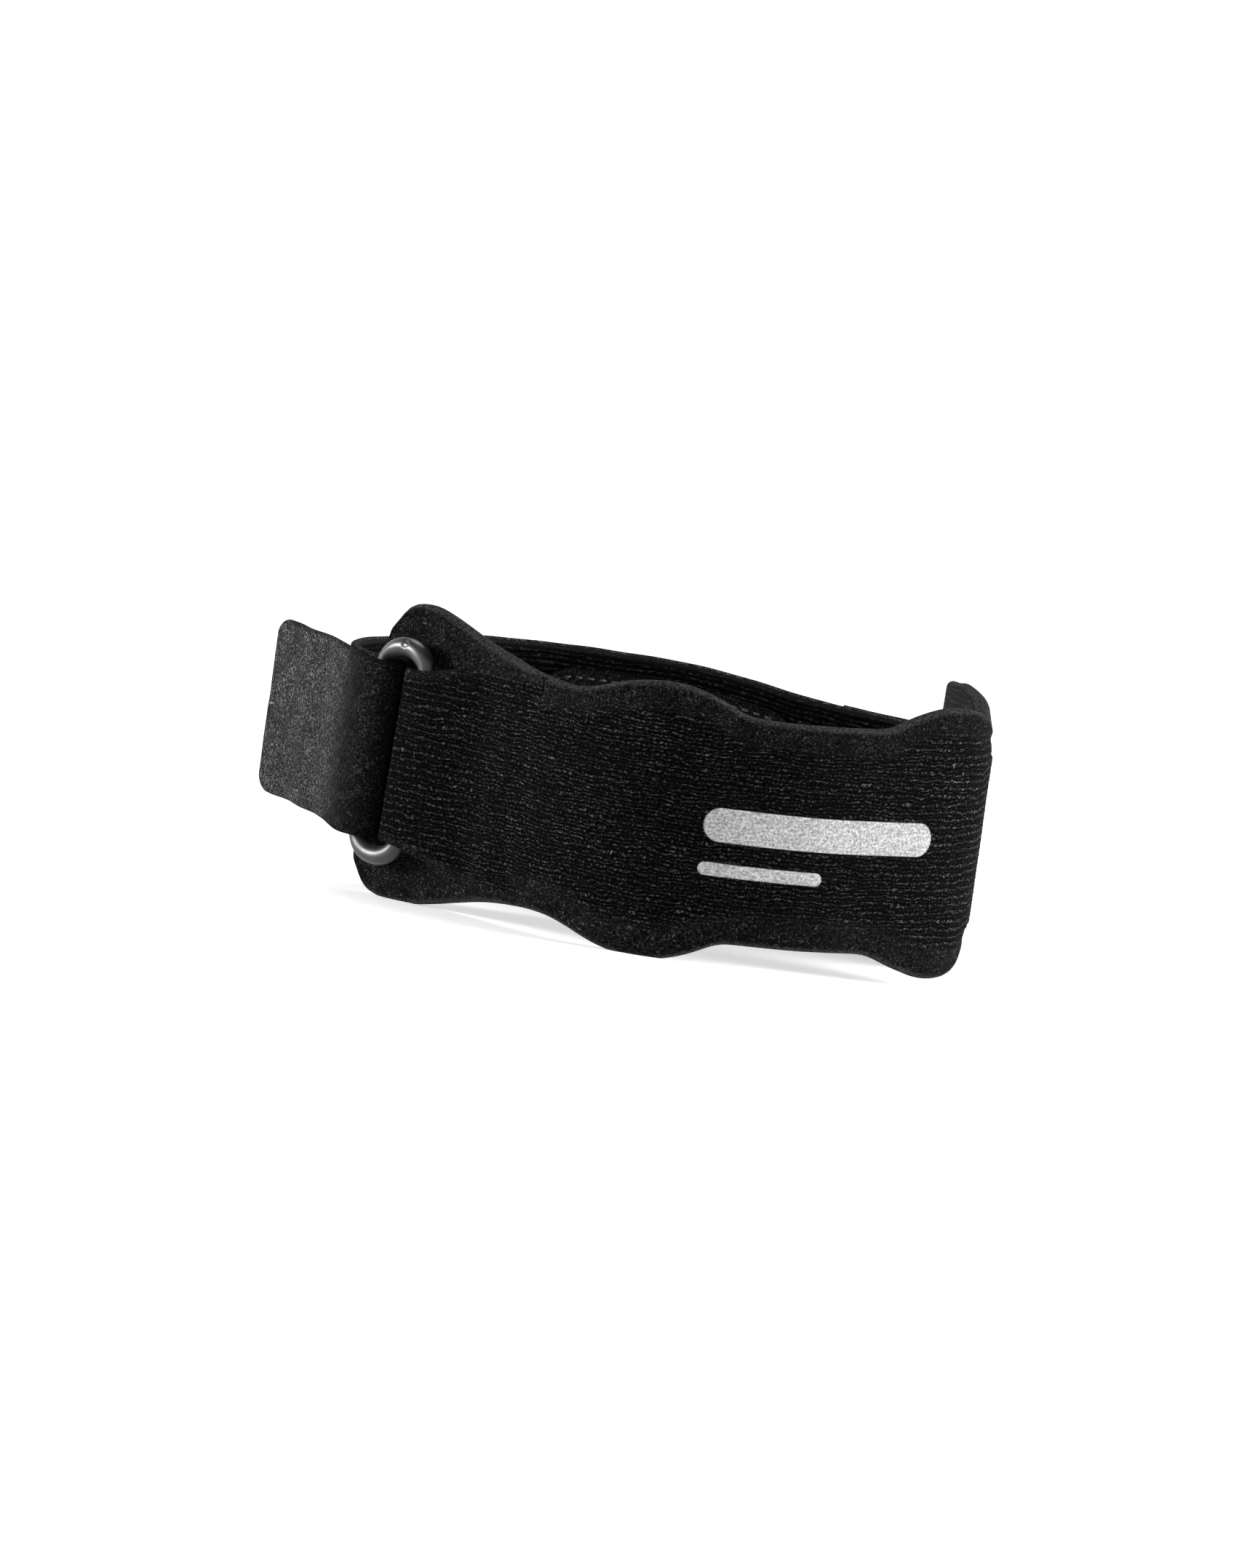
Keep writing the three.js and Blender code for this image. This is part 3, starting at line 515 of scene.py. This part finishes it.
# ------------------------------------------------------------------------ panel
def panel_rows(marks):
    """Plan place, thickness, top and bottom of the panel at distances m from its left end."""
    m = np.asarray(marks, float)
    along = MIDDLE - HALF_RUN + m
    p = panel.at(along)
    from_end = np.minimum(m, 2 * HALF_RUN - m)
    lean = PAD_LEAN * np.clip((24 - m) / 16, 0, 1)
    skew = PAD_SKEW * np.clip((m - 116) / 14, 0, 1) * np.clip((184 - m) / 26, 0, 1)
    dip = LEFT_DIP * np.exp(-(((m - 24) / 10) ** 2))
    past = m - HALF_RUN
    early = RIGHT_EARLY * np.clip((past - 56) / 12, 0, 1) * np.clip((98 - past) / 14, 0, 1)
    shoulder = RIGHT_SHOULDER * np.clip((past - 52) / 14, 0, 1) * np.clip((98 - past) / 14, 0, 1)
    cut = RIGHT_CUT * np.clip((past - 70) / 18, 0, 1) + 2.2 * np.clip((past - 88) / 17, 0, 1) ** 2
    top = outline(np.minimum(np.abs(past) + lean + shoulder, HALF_RUN)) - dip - cut
    foot = outline(np.abs(m - skew - HALF_RUN) - 0.5 * lean + early)
    thin = np.sqrt(1 - np.clip(1 - (from_end + 0.25) / 2.4, 0, 1) ** 2)
    drop = panel_drop(along)
    return along, p, (PAD_THICK - panel_dent(along)) * thin, top + PAD_LIFT - 0.2 - drop, PAD_LIFT + 0.2 - foot - drop, drop


def make_panel():
    ends = np.array([0, 0.15, 0.35, 0.7, 1.1, 1.6, 2.2, 2.9, 3.6, 4.5, 5.4, 6.5, 7.8, 9.2, 10.8, 12.4])
    marks = np.unique(np.concatenate([ends, 2 * HALF_RUN - ends, np.arange(14, 2 * HALF_RUN - 13.2, 0.88)]))
    along, p, thick, top, bottom, drop = panel_rows(marks)
    table = loop_section(232, 44, 5)
    d, z = section_points(table, thick[:, None] / 2, bottom[:, None], top[:, None], PAD_EDGE)
    side = np.broadcast_to(table[:, 0][None], d.shape)
    s = np.broadcast_to(along[:, None], d.shape)
    level = z + drop[:, None]
    end = np.minimum(marks, 2 * HALF_RUN - marks)[:, None]
    from_top, from_foot = top[:, None] - z, z - bottom[:, None]
    wave = waves(s, level, 3, [(9, 14), (13, 22), (24, 30)])
    # the ribs die away into the brushed margins and the lobes
    mask = ease((from_top - 2.6 - 0.8 * wave) / 3.2) * ease((from_foot - 3.4 - 0.8 * wave) / 4.2)
    mask = mask * ease((end - 30 - 2.0 * wave) / 13)
    mask = mask * (side == 0)
    waver = level + 0.30 * waves(s, level, 9, [(5.1, 6.0), (8.3, 9.0), (13.0, 7.0)])
    rib = 0.65 * np.cos(2 * np.pi * waver / RIB) + 0.35 * np.cos(np.pi * waver / RIB)
    uneven = 0.65 + 0.65 * waves(s, level, 8, [(2.9, 3.1), (4.3, 2.2), (7.1, 5.0)])
    # foam: fuller in the bulges, drawn in at the rim, softly uneven
    middle = ease(np.minimum(from_top, from_foot) / 7.0)
    full = 0.30 * middle + 0.22 * middle * waves(s, level, 5, [(31, 24), (47, 33), (19, 17)])
    rim = -0.30 * np.exp(-(((from_top - 2.7) / 0.9) ** 2)) - 0.16 * np.exp(-(((from_foot - 3.0) / 1.2) ** 2))
    out = np.where(side == 0, full + rim * ease(end / 5) + 0.075 * mask * rib * uneven, 0.0)
    out = out * ease(end / 4.0)
    out = np.where(side == 2, -0.12 * waves(s, level, 6, [(17, 15), (29, 21)]) * ease(np.minimum(from_top, from_foot) / 4), out)
    # a little give along the top and bottom rims
    z = z + 0.16 * waves(s, level * 0, 11, [(14, 40), (23, 50), (37, 60)]) * ease(end / 6) * (1 - ease(np.minimum(from_top, from_foot) / 5)) * (from_foot > 8)
    c = -(PAD_THICK + panel_dent(along)[:, None]) / 2
    x = p["x"][:, None] + p["nx"][:, None] * (c + d + out)
    y = p["y"][:, None] + p["ny"][:, None] * (c + d + out)
    rows = np.stack([x, y, z], -1)
    edge = np.minimum(np.minimum(from_top, from_foot), end)
    piece = build("front_pad_knit", rows, {
        "knit": np.stack([s, level, mask], -1), "edge": edge, "depth": d, "print": np.where(side == 0, 1.0, 0.0)},
        [knit, lining], face_slot=np.where((table[:, 0] == 2)[None], 1, 0))
    # pressed flat where the foam stands
    co = np.zeros(len(piece.data.vertices) * 3)
    piece.data.vertices.foreach_get("co", co)
    co = co.reshape(-1, 3)
    co[:, 2] = np.maximum(co[:, 2], 0.0)
    piece.data.vertices.foreach_set("co", co.ravel())
    piece.data.update()
    return piece


# ------------------------------------------------------------ strips of cloth
def strip_marks(curve, step, tight):
    marks, s = [0.0], 0.0
    while s < curve.length:
        a, b = curve.at(s), curve.at(min(s + 0.6, curve.length))
        bend = math.acos(min(1.0, float(a["tx"] * b["tx"] + a["ty"] * b["ty"]))) / 0.6
        s += min(step, max(tight, 0.16 / (bend + 1e-6)))
        if s < curve.length - 0.2:
            marks.append(s)
    return np.array(marks + [curve.length])


def flap_rows(side):
    rows = [(*on_panel(s, d, side), h if side > 0 else FLAP_WIDE / 2)
            for s, d, h in [(48.5, 0.02, 20.9), (45.5, 0.22, 20.8), (42.0, 0.66, 20.6)] + FLAP_RISE]
    for a in range(90, 271, 15):
        t = math.radians(a)
        rows.append((*on_panel(BAR_S - FLAP_SLACK + FLAP_BEND * math.cos(t), BAR_D + FLAP_BEND * math.sin(t), side), FLAP_WIDE / 2))
    for s, d, h in FLAP_RETURN:
        rows.append((*on_panel(s, d, side), h))
    return rows


def make_flap(name, side):
    curve = Plan(flap_rows(side))
    marks = np.unique(np.concatenate([strip_marks(curve, 0.8, 0.28), [0.1, 0.3, curve.length - 0.3, curve.length - 0.1]]))
    p = curve.at(marks)
    table = loop_section(150, 40, 4)
    tail = np.minimum(marks, curve.length - marks)
    thick = FLAP_THICK * (0.10 + 0.90 * ease(marks / 10.5)) * np.sqrt(1 - (1 - np.clip((curve.length - marks + 0.1) / 0.7, 0, 1)) ** 2)
    top, low = p["half"] - p["drop"], -p["half"] - p["drop"]
    d, z = section_points(table, thick[:, None] / 2, low[:, None], top[:, None], 0.6)
    sign = -1.0 if side > 0 else 1.0
    if side > 0:
        d = -d
    face = np.broadcast_to((table[:, 0] == 0)[None], d.shape)
    level = z + p["drop"][:, None]
    s = np.broadcast_to((MIDDLE - HALF_RUN + 48.5 - marks if side > 0 else MIDDLE + HALF_RUN - 48.5 + marks)[:, None], d.shape)
    near = np.minimum(top[:, None] - z, z - low[:, None])
    wave = waves(s, level, 14, [(5, 9), (9, 14)])
    mask = ease((near - 0.7 - 0.3 * wave) / 1.5) * face
    waver = level + 0.30 * waves(s, level, 19, [(5.1, 6.0), (8.3, 9.0), (13.0, 7.0)])
    rib = 0.65 * np.cos(2 * np.pi * waver / RIB) + 0.35 * np.cos(np.pi * waver / RIB)
    uneven = 0.65 + 0.65 * waves(s, level, 18, [(2.9, 3.1), (4.3, 2.2), (7.1, 5.0)])
    start = ease(marks[:, None] / 5)
    out = 0.075 * mask * rib * uneven + 0.10 * face * waves(s, level, 15, [(11, 19), (17, 27)]) * start
    out = out * start
    x = p["x"][:, None] + p["nx"][:, None] * (d + sign * out)
    y = p["y"][:, None] + p["ny"][:, None] * (d + sign * out)
    rows = np.stack([x, y, z], -1)
    return build(name, lean_left(rows, CLOTH_LEAN) if side > 0 else rows, {
        "knit": np.stack([s, level, mask], -1), "edge": near + 3, "depth": d, "print": 0 * near}, [knit]), curve.length


def outward_of(f):
    n = np.array([f["u"][1], -f["u"][0]])
    return n if n @ (f["mid"] + np.array([-4.0, -48.0])) > 0 else -n


def strap_turn(f):
    w, rows = outward_of(f), []
    for a in range(90, -91, -15):
        t = math.radians(a)
        q = f["outer"][:2] + f["u"] * (-STRAP_BEND * math.cos(t)) + w * (STRAP_BEND * math.sin(t))
        rows.append((q[0], q[1], f["drop"]))
    return rows


def strap_rows():
    rows = [(x, y, 0.0) for x, y in TAB_PLAN] + strap_turn(left_ring) + list(BACK_PLAN)
    run_in = on_panel(-0.5, 2.0, -1)
    rows.append(run_in)
    rows += strap_turn(right_ring)[::-1]
    back = Plan(list(BACK_PLAN) + [run_in])
    gap = STRAP_THICK + 0.35
    for r in (8.5, SEWN_END - 7, SEWN_END):
        p = back.at(back.length - r)
        rows.append((float(p["x"] - p["nx"] * gap), float(p["y"] - p["ny"] * gap), float(p["drop"])))
    return rows


def make_strap():
    curve = Plan(strap_rows())
    marks = np.unique(np.concatenate([strip_marks(curve, 1.0, 0.3), [0.08, 0.2, 0.35, 0.6, 0.9, 1.2, 1.6, 2.1, 2.6, 3.2, 3.8, 4.4],
                                      curve.length - np.array([0.08, 0.25, 0.6])]))
    p = curve.at(marks)
    first = np.clip(marks, 0, 4.0)
    nick = 4.0 - np.sqrt(np.maximum(16.0 - (4.0 - first) ** 2, 0))
    top, low = STRAP_WIDE / 2 - nick - p["drop"], -STRAP_WIDE / 2 + nick - p["drop"]
    table = loop_section(40, 40, 4)
    tail = np.minimum(marks, curve.length - marks)
    thick = STRAP_THICK * np.sqrt(1 - (1 - np.clip((tail + 0.12) / 0.8, 0, 1)) ** 2)
    d, z = section_points(table, thick[:, None] / 2, low[:, None], top[:, None], 0.62)
    s = np.broadcast_to(marks[:, None], d.shape)
    level = z + p["drop"][:, None]
    near = np.minimum(top[:, None] - z, z - low[:, None])
    # soft undulation, calm where the strap runs round the rings
    bars = [np.hypot(p["x"] - f["outer"][0], p["y"] - f["outer"][1]) for f in (left_ring, right_ring)]
    calm = ease((np.minimum(*bars) - 5) / 12)[:, None]
    out = 0.22 * waves(s, level, 21, [(26, 30), (43, 44), (17, 21)]) * calm
    out = out + 0.20 * np.sin(2 * np.pi * (s + 0.12 * level) / 15.0 + 0.9) * ease((s - 3) / 6) * ease((33 - s) / 9)
    z = z + 0.10 * waves(s, 0 * level, 23, [(11, 30), (19, 40)]) * np.sign(level) * ease(1 - near / 3) * calm
    # pile: the velour is not quite flat
    out_pile = 0.035 * waves(s, level, 25, [(3.1, 2.7), (4.7, 3.9), (2.2, 2.1)]) * np.where(np.isin(table[:, 0], (0, 2)), 1, 0)[None]
    x = p["x"][:, None] + p["nx"][:, None] * (d + out + np.sign(d) * out_pile)
    y = p["y"][:, None] + p["ny"][:, None] * (d + out + np.sign(d) * out_pile)
    return build("velour_strap", lean_left(np.stack([x, y, z], -1), CLOTH_LEAN), {
        "knit": np.stack([s, level, near], -1), "edge": near, "depth": d}, [velour, band_inner],
        face_slot=((table[:, 0] == 0)[None] & (marks[:-1, None] > 52)).astype(int)), curve


def make_patch():
    back = Plan(BACK_PLAN)
    start, length = 119.0, 52.0
    e = np.array([0, 0.1, 0.25, 0.5, 0.9, 1.4, 2.0, 2.7, 3.5, 4.4, 5.3, 6.2, 7.0])
    marks = np.unique(np.concatenate([e, length - e, np.arange(8, length - 7.5, 1.0)]))
    p = back.at(start - length + marks)
    tail = np.clip(np.minimum(marks, length - marks), 0, PATCH_CORNER)
    nick = PATCH_CORNER - np.sqrt(PATCH_CORNER**2 - (PATCH_CORNER - tail) ** 2)
    top, low = PATCH_WIDE / 2 - nick - p["drop"], -PATCH_WIDE / 2 + nick - p["drop"]
    table = loop_section(34, 20, 4)
    thick = PATCH_THICK * np.sqrt(1 - (1 - np.clip((tail + 0.12) / 0.7, 0, 1)) ** 2)
    d, z = section_points(table, thick[:, None] / 2, low[:, None], top[:, None], 0.4)
    s = np.broadcast_to(marks[:, None], d.shape)
    level = z + p["drop"][:, None]
    near = np.minimum(np.minimum(top[:, None] - z, z - low[:, None]), np.minimum(marks, length - marks)[:, None])
    c = STRAP_THICK / 2 + 0.14 + PATCH_THICK / 2
    # sewn down: the stitch line draws it in
    out = -0.14 * np.exp(-(((near - 1.6) / 0.5) ** 2)) * (table[:, 0] == 0)[None] * ease(tail / 1.2)[:, None]
    out = out + 0.05 * waves(s, level, 33, [(9, 8), (13, 17)]) * (table[:, 0] == 0)[None] * ease(near / 3)
    x = p["x"][:, None] + p["nx"][:, None] * (c + d + out)
    y = p["y"][:, None] + p["ny"][:, None] * (c + d + out)
    return build("inner_patch_pile", np.stack([x, y, z], -1), {
        "knit": np.stack([s + 200.0, level, near], -1), "edge": near, "depth": d}, [hook]), back, start, length


# ------------------------------------------------------------------------ rings
def make_ring(name, f, gate):
    a, b, arc = RING_PITCH / 2, RING_HALF - RING_STRAIGHT, 56
    t = np.pi * np.arange(arc + 1) / arc
    up = np.stack([a * np.cos(t), RING_STRAIGHT + b * np.sin(t)], -1)
    down = np.stack([-a * np.cos(t), -RING_STRAIGHT - b * np.sin(t)], -1)
    bar = np.linspace(RING_STRAIGHT, -RING_STRAIGHT, 42)[1:-1]
    line = np.concatenate([up, np.stack([np.full_like(bar, -a), bar], -1), down, np.stack([np.full_like(bar, a), -bar], -1)])
    tangent = np.roll(line, -1, 0) - np.roll(line, 1, 0)
    tangent /= np.linalg.norm(tangent, axis=1)[:, None]
    q = 2 * np.pi * np.arange(40) / 40
    w, v = RING_TUBE / 2 * np.cos(q)[None], RING_TUBE / 2 * np.sin(q)[None]
    # a faint parting line round the middle of the section
    seam = 1 + 0.018 * np.exp(-((np.sin(q)[None] / 0.10) ** 2))
    full = 1 + 0.12 * ease((np.abs(line[:, 1:]) - RING_STRAIGHT - 1.5) / 2.4)
    w, v = w * seam * full, v * seam * full
    u = line[:, :1] + tangent[:, 1:] * w
    z = line[:, 1:] - tangent[:, :1] * w
    x = f["mid"][0] + f["u"][0] * u + f["u"][1] * v
    y = f["mid"][1] + f["u"][1] * u - f["u"][0] * v
    rows = np.stack([x, y, z - f["drop"]], -1)
    if gate is not None:
        # a shallow round gate mark
        i, j = gate
        centre = rows[i, j]
        r = np.linalg.norm(rows - centre, axis=-1)
        axis = centre - np.array([x[i].mean(), y[i].mean(), rows[i, :, 2].mean()])
        axis /= np.linalg.norm(axis)
        rows = rows - axis * (0.26 * ease((0.80 - r) / 0.22) - 0.20 * ease((0.42 - r) / 0.2))[..., None]
    if f is left_ring:
        rows = lean_left(rows, RING_LEAN)
    return build(name, rows, {}, [plastic], closed=True)


# --------------------------------------------------------------------- stitches
def make_stitches(name, places, radius, sink):
    """Short threads between pairs of points; each bows a little above the cloth."""
    verts, faces = [], []
    for a, b, out in places:
        a, b, out = (np.asarray(v, float) for v in (a, b, out))
        along = (b - a) / np.linalg.norm(b - a)
        across = np.cross(out, along)
        base, sides, steps = len(verts), 8, 6
        for i in range(steps + 1):
            t = i / steps
            r = radius * math.sqrt(max(0.02, 1 - (2 * t - 1) ** 4))
            c = a + (b - a) * t + out * (radius * 0.9 * math.sin(math.pi * t) - sink * (2 * t - 1) ** 2)
            for j in range(sides):
                q = 2 * math.pi * j / sides
                verts.append(c + r * (math.cos(q) * across + 0.8 * math.sin(q) * out))
        for i in range(steps):
            for j in range(sides):
                k = base + i * sides
                faces.append((k + j, k + (j + 1) % sides, k + sides + (j + 1) % sides, k + sides + j))
        faces.append(tuple(base + j for j in range(sides))[::-1])
        faces.append(tuple(base + steps * sides + j for j in range(sides)))
    mesh = bpy.data.meshes.new(name)
    mesh.from_pydata([tuple(p) for p in place(np.array(verts))], [], faces)
    mesh.materials.append(thread)
    mesh.polygons.foreach_set("use_smooth", np.ones(len(faces), bool))
    mesh.update()
    work = bmesh.new()
    work.from_mesh(mesh)
    bmesh.ops.recalc_face_normals(work, faces=work.faces)
    work.to_mesh(mesh)
    work.free()
    piece = bpy.data.objects.new(name, mesh)
    bpy.context.scene.collection.objects.link(piece)
    return piece


def patch_stitches(back, start, length):
    """One line of running stitches 1.6 mm inside the patch's edge."""
    r, inset = PATCH_CORNER - 1.6, 1.6
    hx, hz = length / 2 - inset, PATCH_WIDE / 2 - inset
    path = []
    for cx, cz, a0 in ((hx - r, hz - r, 0), (r - hx, hz - r, 90), (r - hx, r - hz, 180), (hx - r, r - hz, 270)):
        for i in range(9):
            t = math.radians(a0 + 90 * i / 8)
            path.append((cx + r * math.cos(t), cz + r * math.sin(t)))
    path = np.array(path + path[:1])
    run = np.concatenate([[0], np.cumsum(np.hypot(*np.diff(path, axis=0).T))])
    count = int(run[-1] / 2.3)
    places = []

    def at(q):
        q = q % run[-1]
        m, z = np.interp(q, run, path[:, 0]), np.interp(q, run, path[:, 1])
        p = back.at(start - length / 2 + m)
        c = STRAP_THICK / 2 + 0.14 + PATCH_THICK - 0.10
        return (float(p["x"] + p["nx"] * c), float(p["y"] + p["ny"] * c), float(z - p["drop"])), (float(p["nx"]), float(p["ny"]), 0.0)
    for i in range(count):
        a, n = at(run[-1] * i / count)
        b, _ = at(run[-1] * (i + 0.66) / count)
        places.append((a, b, n))
    return make_stitches("patch_stitching", places, 0.19, 0.1)


def end_stitches(curve):
    """Two lines across the strap's sewn end and one down each side, on its outside."""
    places = []
    first, last = curve.length - 15.5, curve.length - 2.2

    def at(m, z):
        p = curve.at(m)
        side = STRAP_THICK / 2 - 0.02
        q = np.array([float(p["x"]), float(p["y"])])
        n = np.array([float(p["nx"]), float(p["ny"])])
        # the sewn end's outside looks away from the middle of the loop
        if n @ (q - np.array([5.0, 50.0])) < 0:
            n = -n
        q = q + n * side
        return (q[0], q[1], z - float(p["drop"])), (n[0], n[1], 0.0)
    h = STRAP_WIDE / 2 - 2.2
    for m in (first, last):
        for z in np.arange(-h, h - 1.2, 2.2):
            a, n = at(m, z)
            b, _ = at(m, z + 1.5)
            places.append((a, b, n))
    for z in (-h, h):
        for m in np.arange(first, last - 1.2, 2.2):
            a, n = at(m, z)
            b, _ = at(m + 1.5, z)
            places.append((a, b, n))
    return make_stitches("end_stitching", places, 0.2, 0.1)


# ---------------------------------------------------------------- make and bind
pad = make_panel()
flap_left, flap_left_length = make_flap("knit_flap_left_cloth", 1)
flap_right, flap_right_length = make_flap("knit_flap_right_cloth", -1)
strap, strap_curve = make_strap()
patch, patch_back, patch_start, patch_length = make_patch()
ring_l = make_ring("ring_left_smooth", left_ring, (29, 33))
ring_r = make_ring("ring_right_smooth", right_ring, None)
patch_thread = patch_stitches(patch_back, patch_start, patch_length)
end_thread = end_stitches(strap_curve)

for piece, node, slot in (
        (pad, "front_pad", "knit"), (flap_left, "knit_flap_left", "knit"), (flap_right, "knit_flap_right", "knit"),
        (strap, "strap", "velour"), (patch, "inner_patch", "velour"),
        (ring_l, "ring_left", "ring_plastic"), (ring_r, "ring_right", "ring_plastic")):
    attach(piece, "root")
    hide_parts(node)
for piece in (patch_thread, end_thread):
    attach(piece, "root")

# ------------------------------------------------------------- floor and light
profile = [(0.0, 0.0), (1.2, 0.0), (2.4, 0.0)] + [
    (2.4 + 1.1 * math.sin(math.radians(a)), 1.1 - 1.1 * math.cos(math.radians(a))) for a in range(6, 91, 6)] + [(3.5, 2.4)]
ring_count, verts, faces = 96, [(0.0, 0.0, 0.0)], []
for r, h in profile[1:]:
    verts += [(r * math.cos(2 * math.pi * i / ring_count), r * math.sin(2 * math.pi * i / ring_count), h) for i in range(ring_count)]
for i in range(ring_count):
    faces.append((0, 1 + i, 1 + (i + 1) % ring_count))
    for k in range(len(profile) - 2):
        a, b = 1 + k * ring_count + i, 1 + k * ring_count + (i + 1) % ring_count
        faces.append((a, a + ring_count, b + ring_count, b))
mesh = bpy.data.meshes.new("studio_floor")
mesh.from_pydata(verts, [], faces)
mesh.polygons.foreach_set("use_smooth", np.ones(len(faces), bool))
floor = bpy.data.objects.new("studio_floor", mesh)
bpy.context.scene.collection.objects.link(floor)
paper = Nodes("white_paper")
paper_grain = paper.noise(paper.new("ShaderNodeTexCoord").outputs["Object"], 900.0, 2.0, 0.5)
mesh.materials.append(paper.finish(paper.mix(paper_grain, (0.90, 0.90, 0.90), (0.93, 0.93, 0.93)), 0.9, None, 0.0,
                                   Specular_IOR_Level=0.1, Emission_Color=(1.0, 1.0, 1.0, 1.0), Emission_Strength=0.35))

world = bpy.data.worlds.new("studio")
bpy.context.scene.world = world
world.use_nodes = True
world.node_tree.nodes["Background"].inputs["Color"].default_value = (1.0, 1.0, 1.0, 1.0)
world.node_tree.nodes["Background"].inputs["Strength"].default_value = 0.08


def area(name, at, to, size, power):
    data = bpy.data.lights.new(name, "AREA")
    data.shape, data.size, data.energy = "DISK", size, power
    light = bpy.data.objects.new(name, data)
    light.location = at
    light.rotation_euler = (Vector(to) - Vector(at)).to_track_quat("-Z", "Y").to_euler()
    bpy.context.scene.collection.objects.link(light)
    return light


area("key_left", (-1.6, -0.15, 0.34), (0, 0, 0.02), 0.5, 38.0)
area("rim_right", (1.55, -0.15, 0.34), (0, 0, 0.02), 0.5, 50.0)
area("top_soft", (-0.2, 0.7, 1.6), (0, 0, 0.02), 0.9, 10.0)

# --------------------------------------------------------------------- camera
roll, rise, distance = math.radians(8.0), math.radians(8.0), 1400.0
target = np.array([0.0, 0.0, 5.7])
view = np.array([0.0, math.cos(rise), -math.sin(rise)])
up0, right0 = np.array([0.0, math.sin(rise), math.cos(rise)]), np.array([1.0, 0.0, 0.0])
right = math.cos(roll) * right0 + math.sin(roll) * up0
up = -math.sin(roll) * right0 + math.cos(roll) * up0
camera = bpy.data.objects.new("camera", bpy.data.cameras.new("camera"))
camera.data.sensor_width = 36.0
camera.data.lens = 36.0 * 10769 / 2156
camera.data.clip_start, camera.data.clip_end = 0.05, 20.0
place_cam = place((target - distance * view)[None])[0]
turned = np.column_stack([STANCE @ right, STANCE @ up, STANCE @ -view])
matrix = Matrix.Identity(4)
for i in range(3):
    for j in range(3):
        matrix[i][j] = turned[i, j]
    matrix[i][3] = place_cam[i]
camera.matrix_world = matrix
bpy.context.scene.collection.objects.link(camera)
bpy.context.scene.camera = camera
bpy.context.scene.view_settings.view_transform = "Standard"
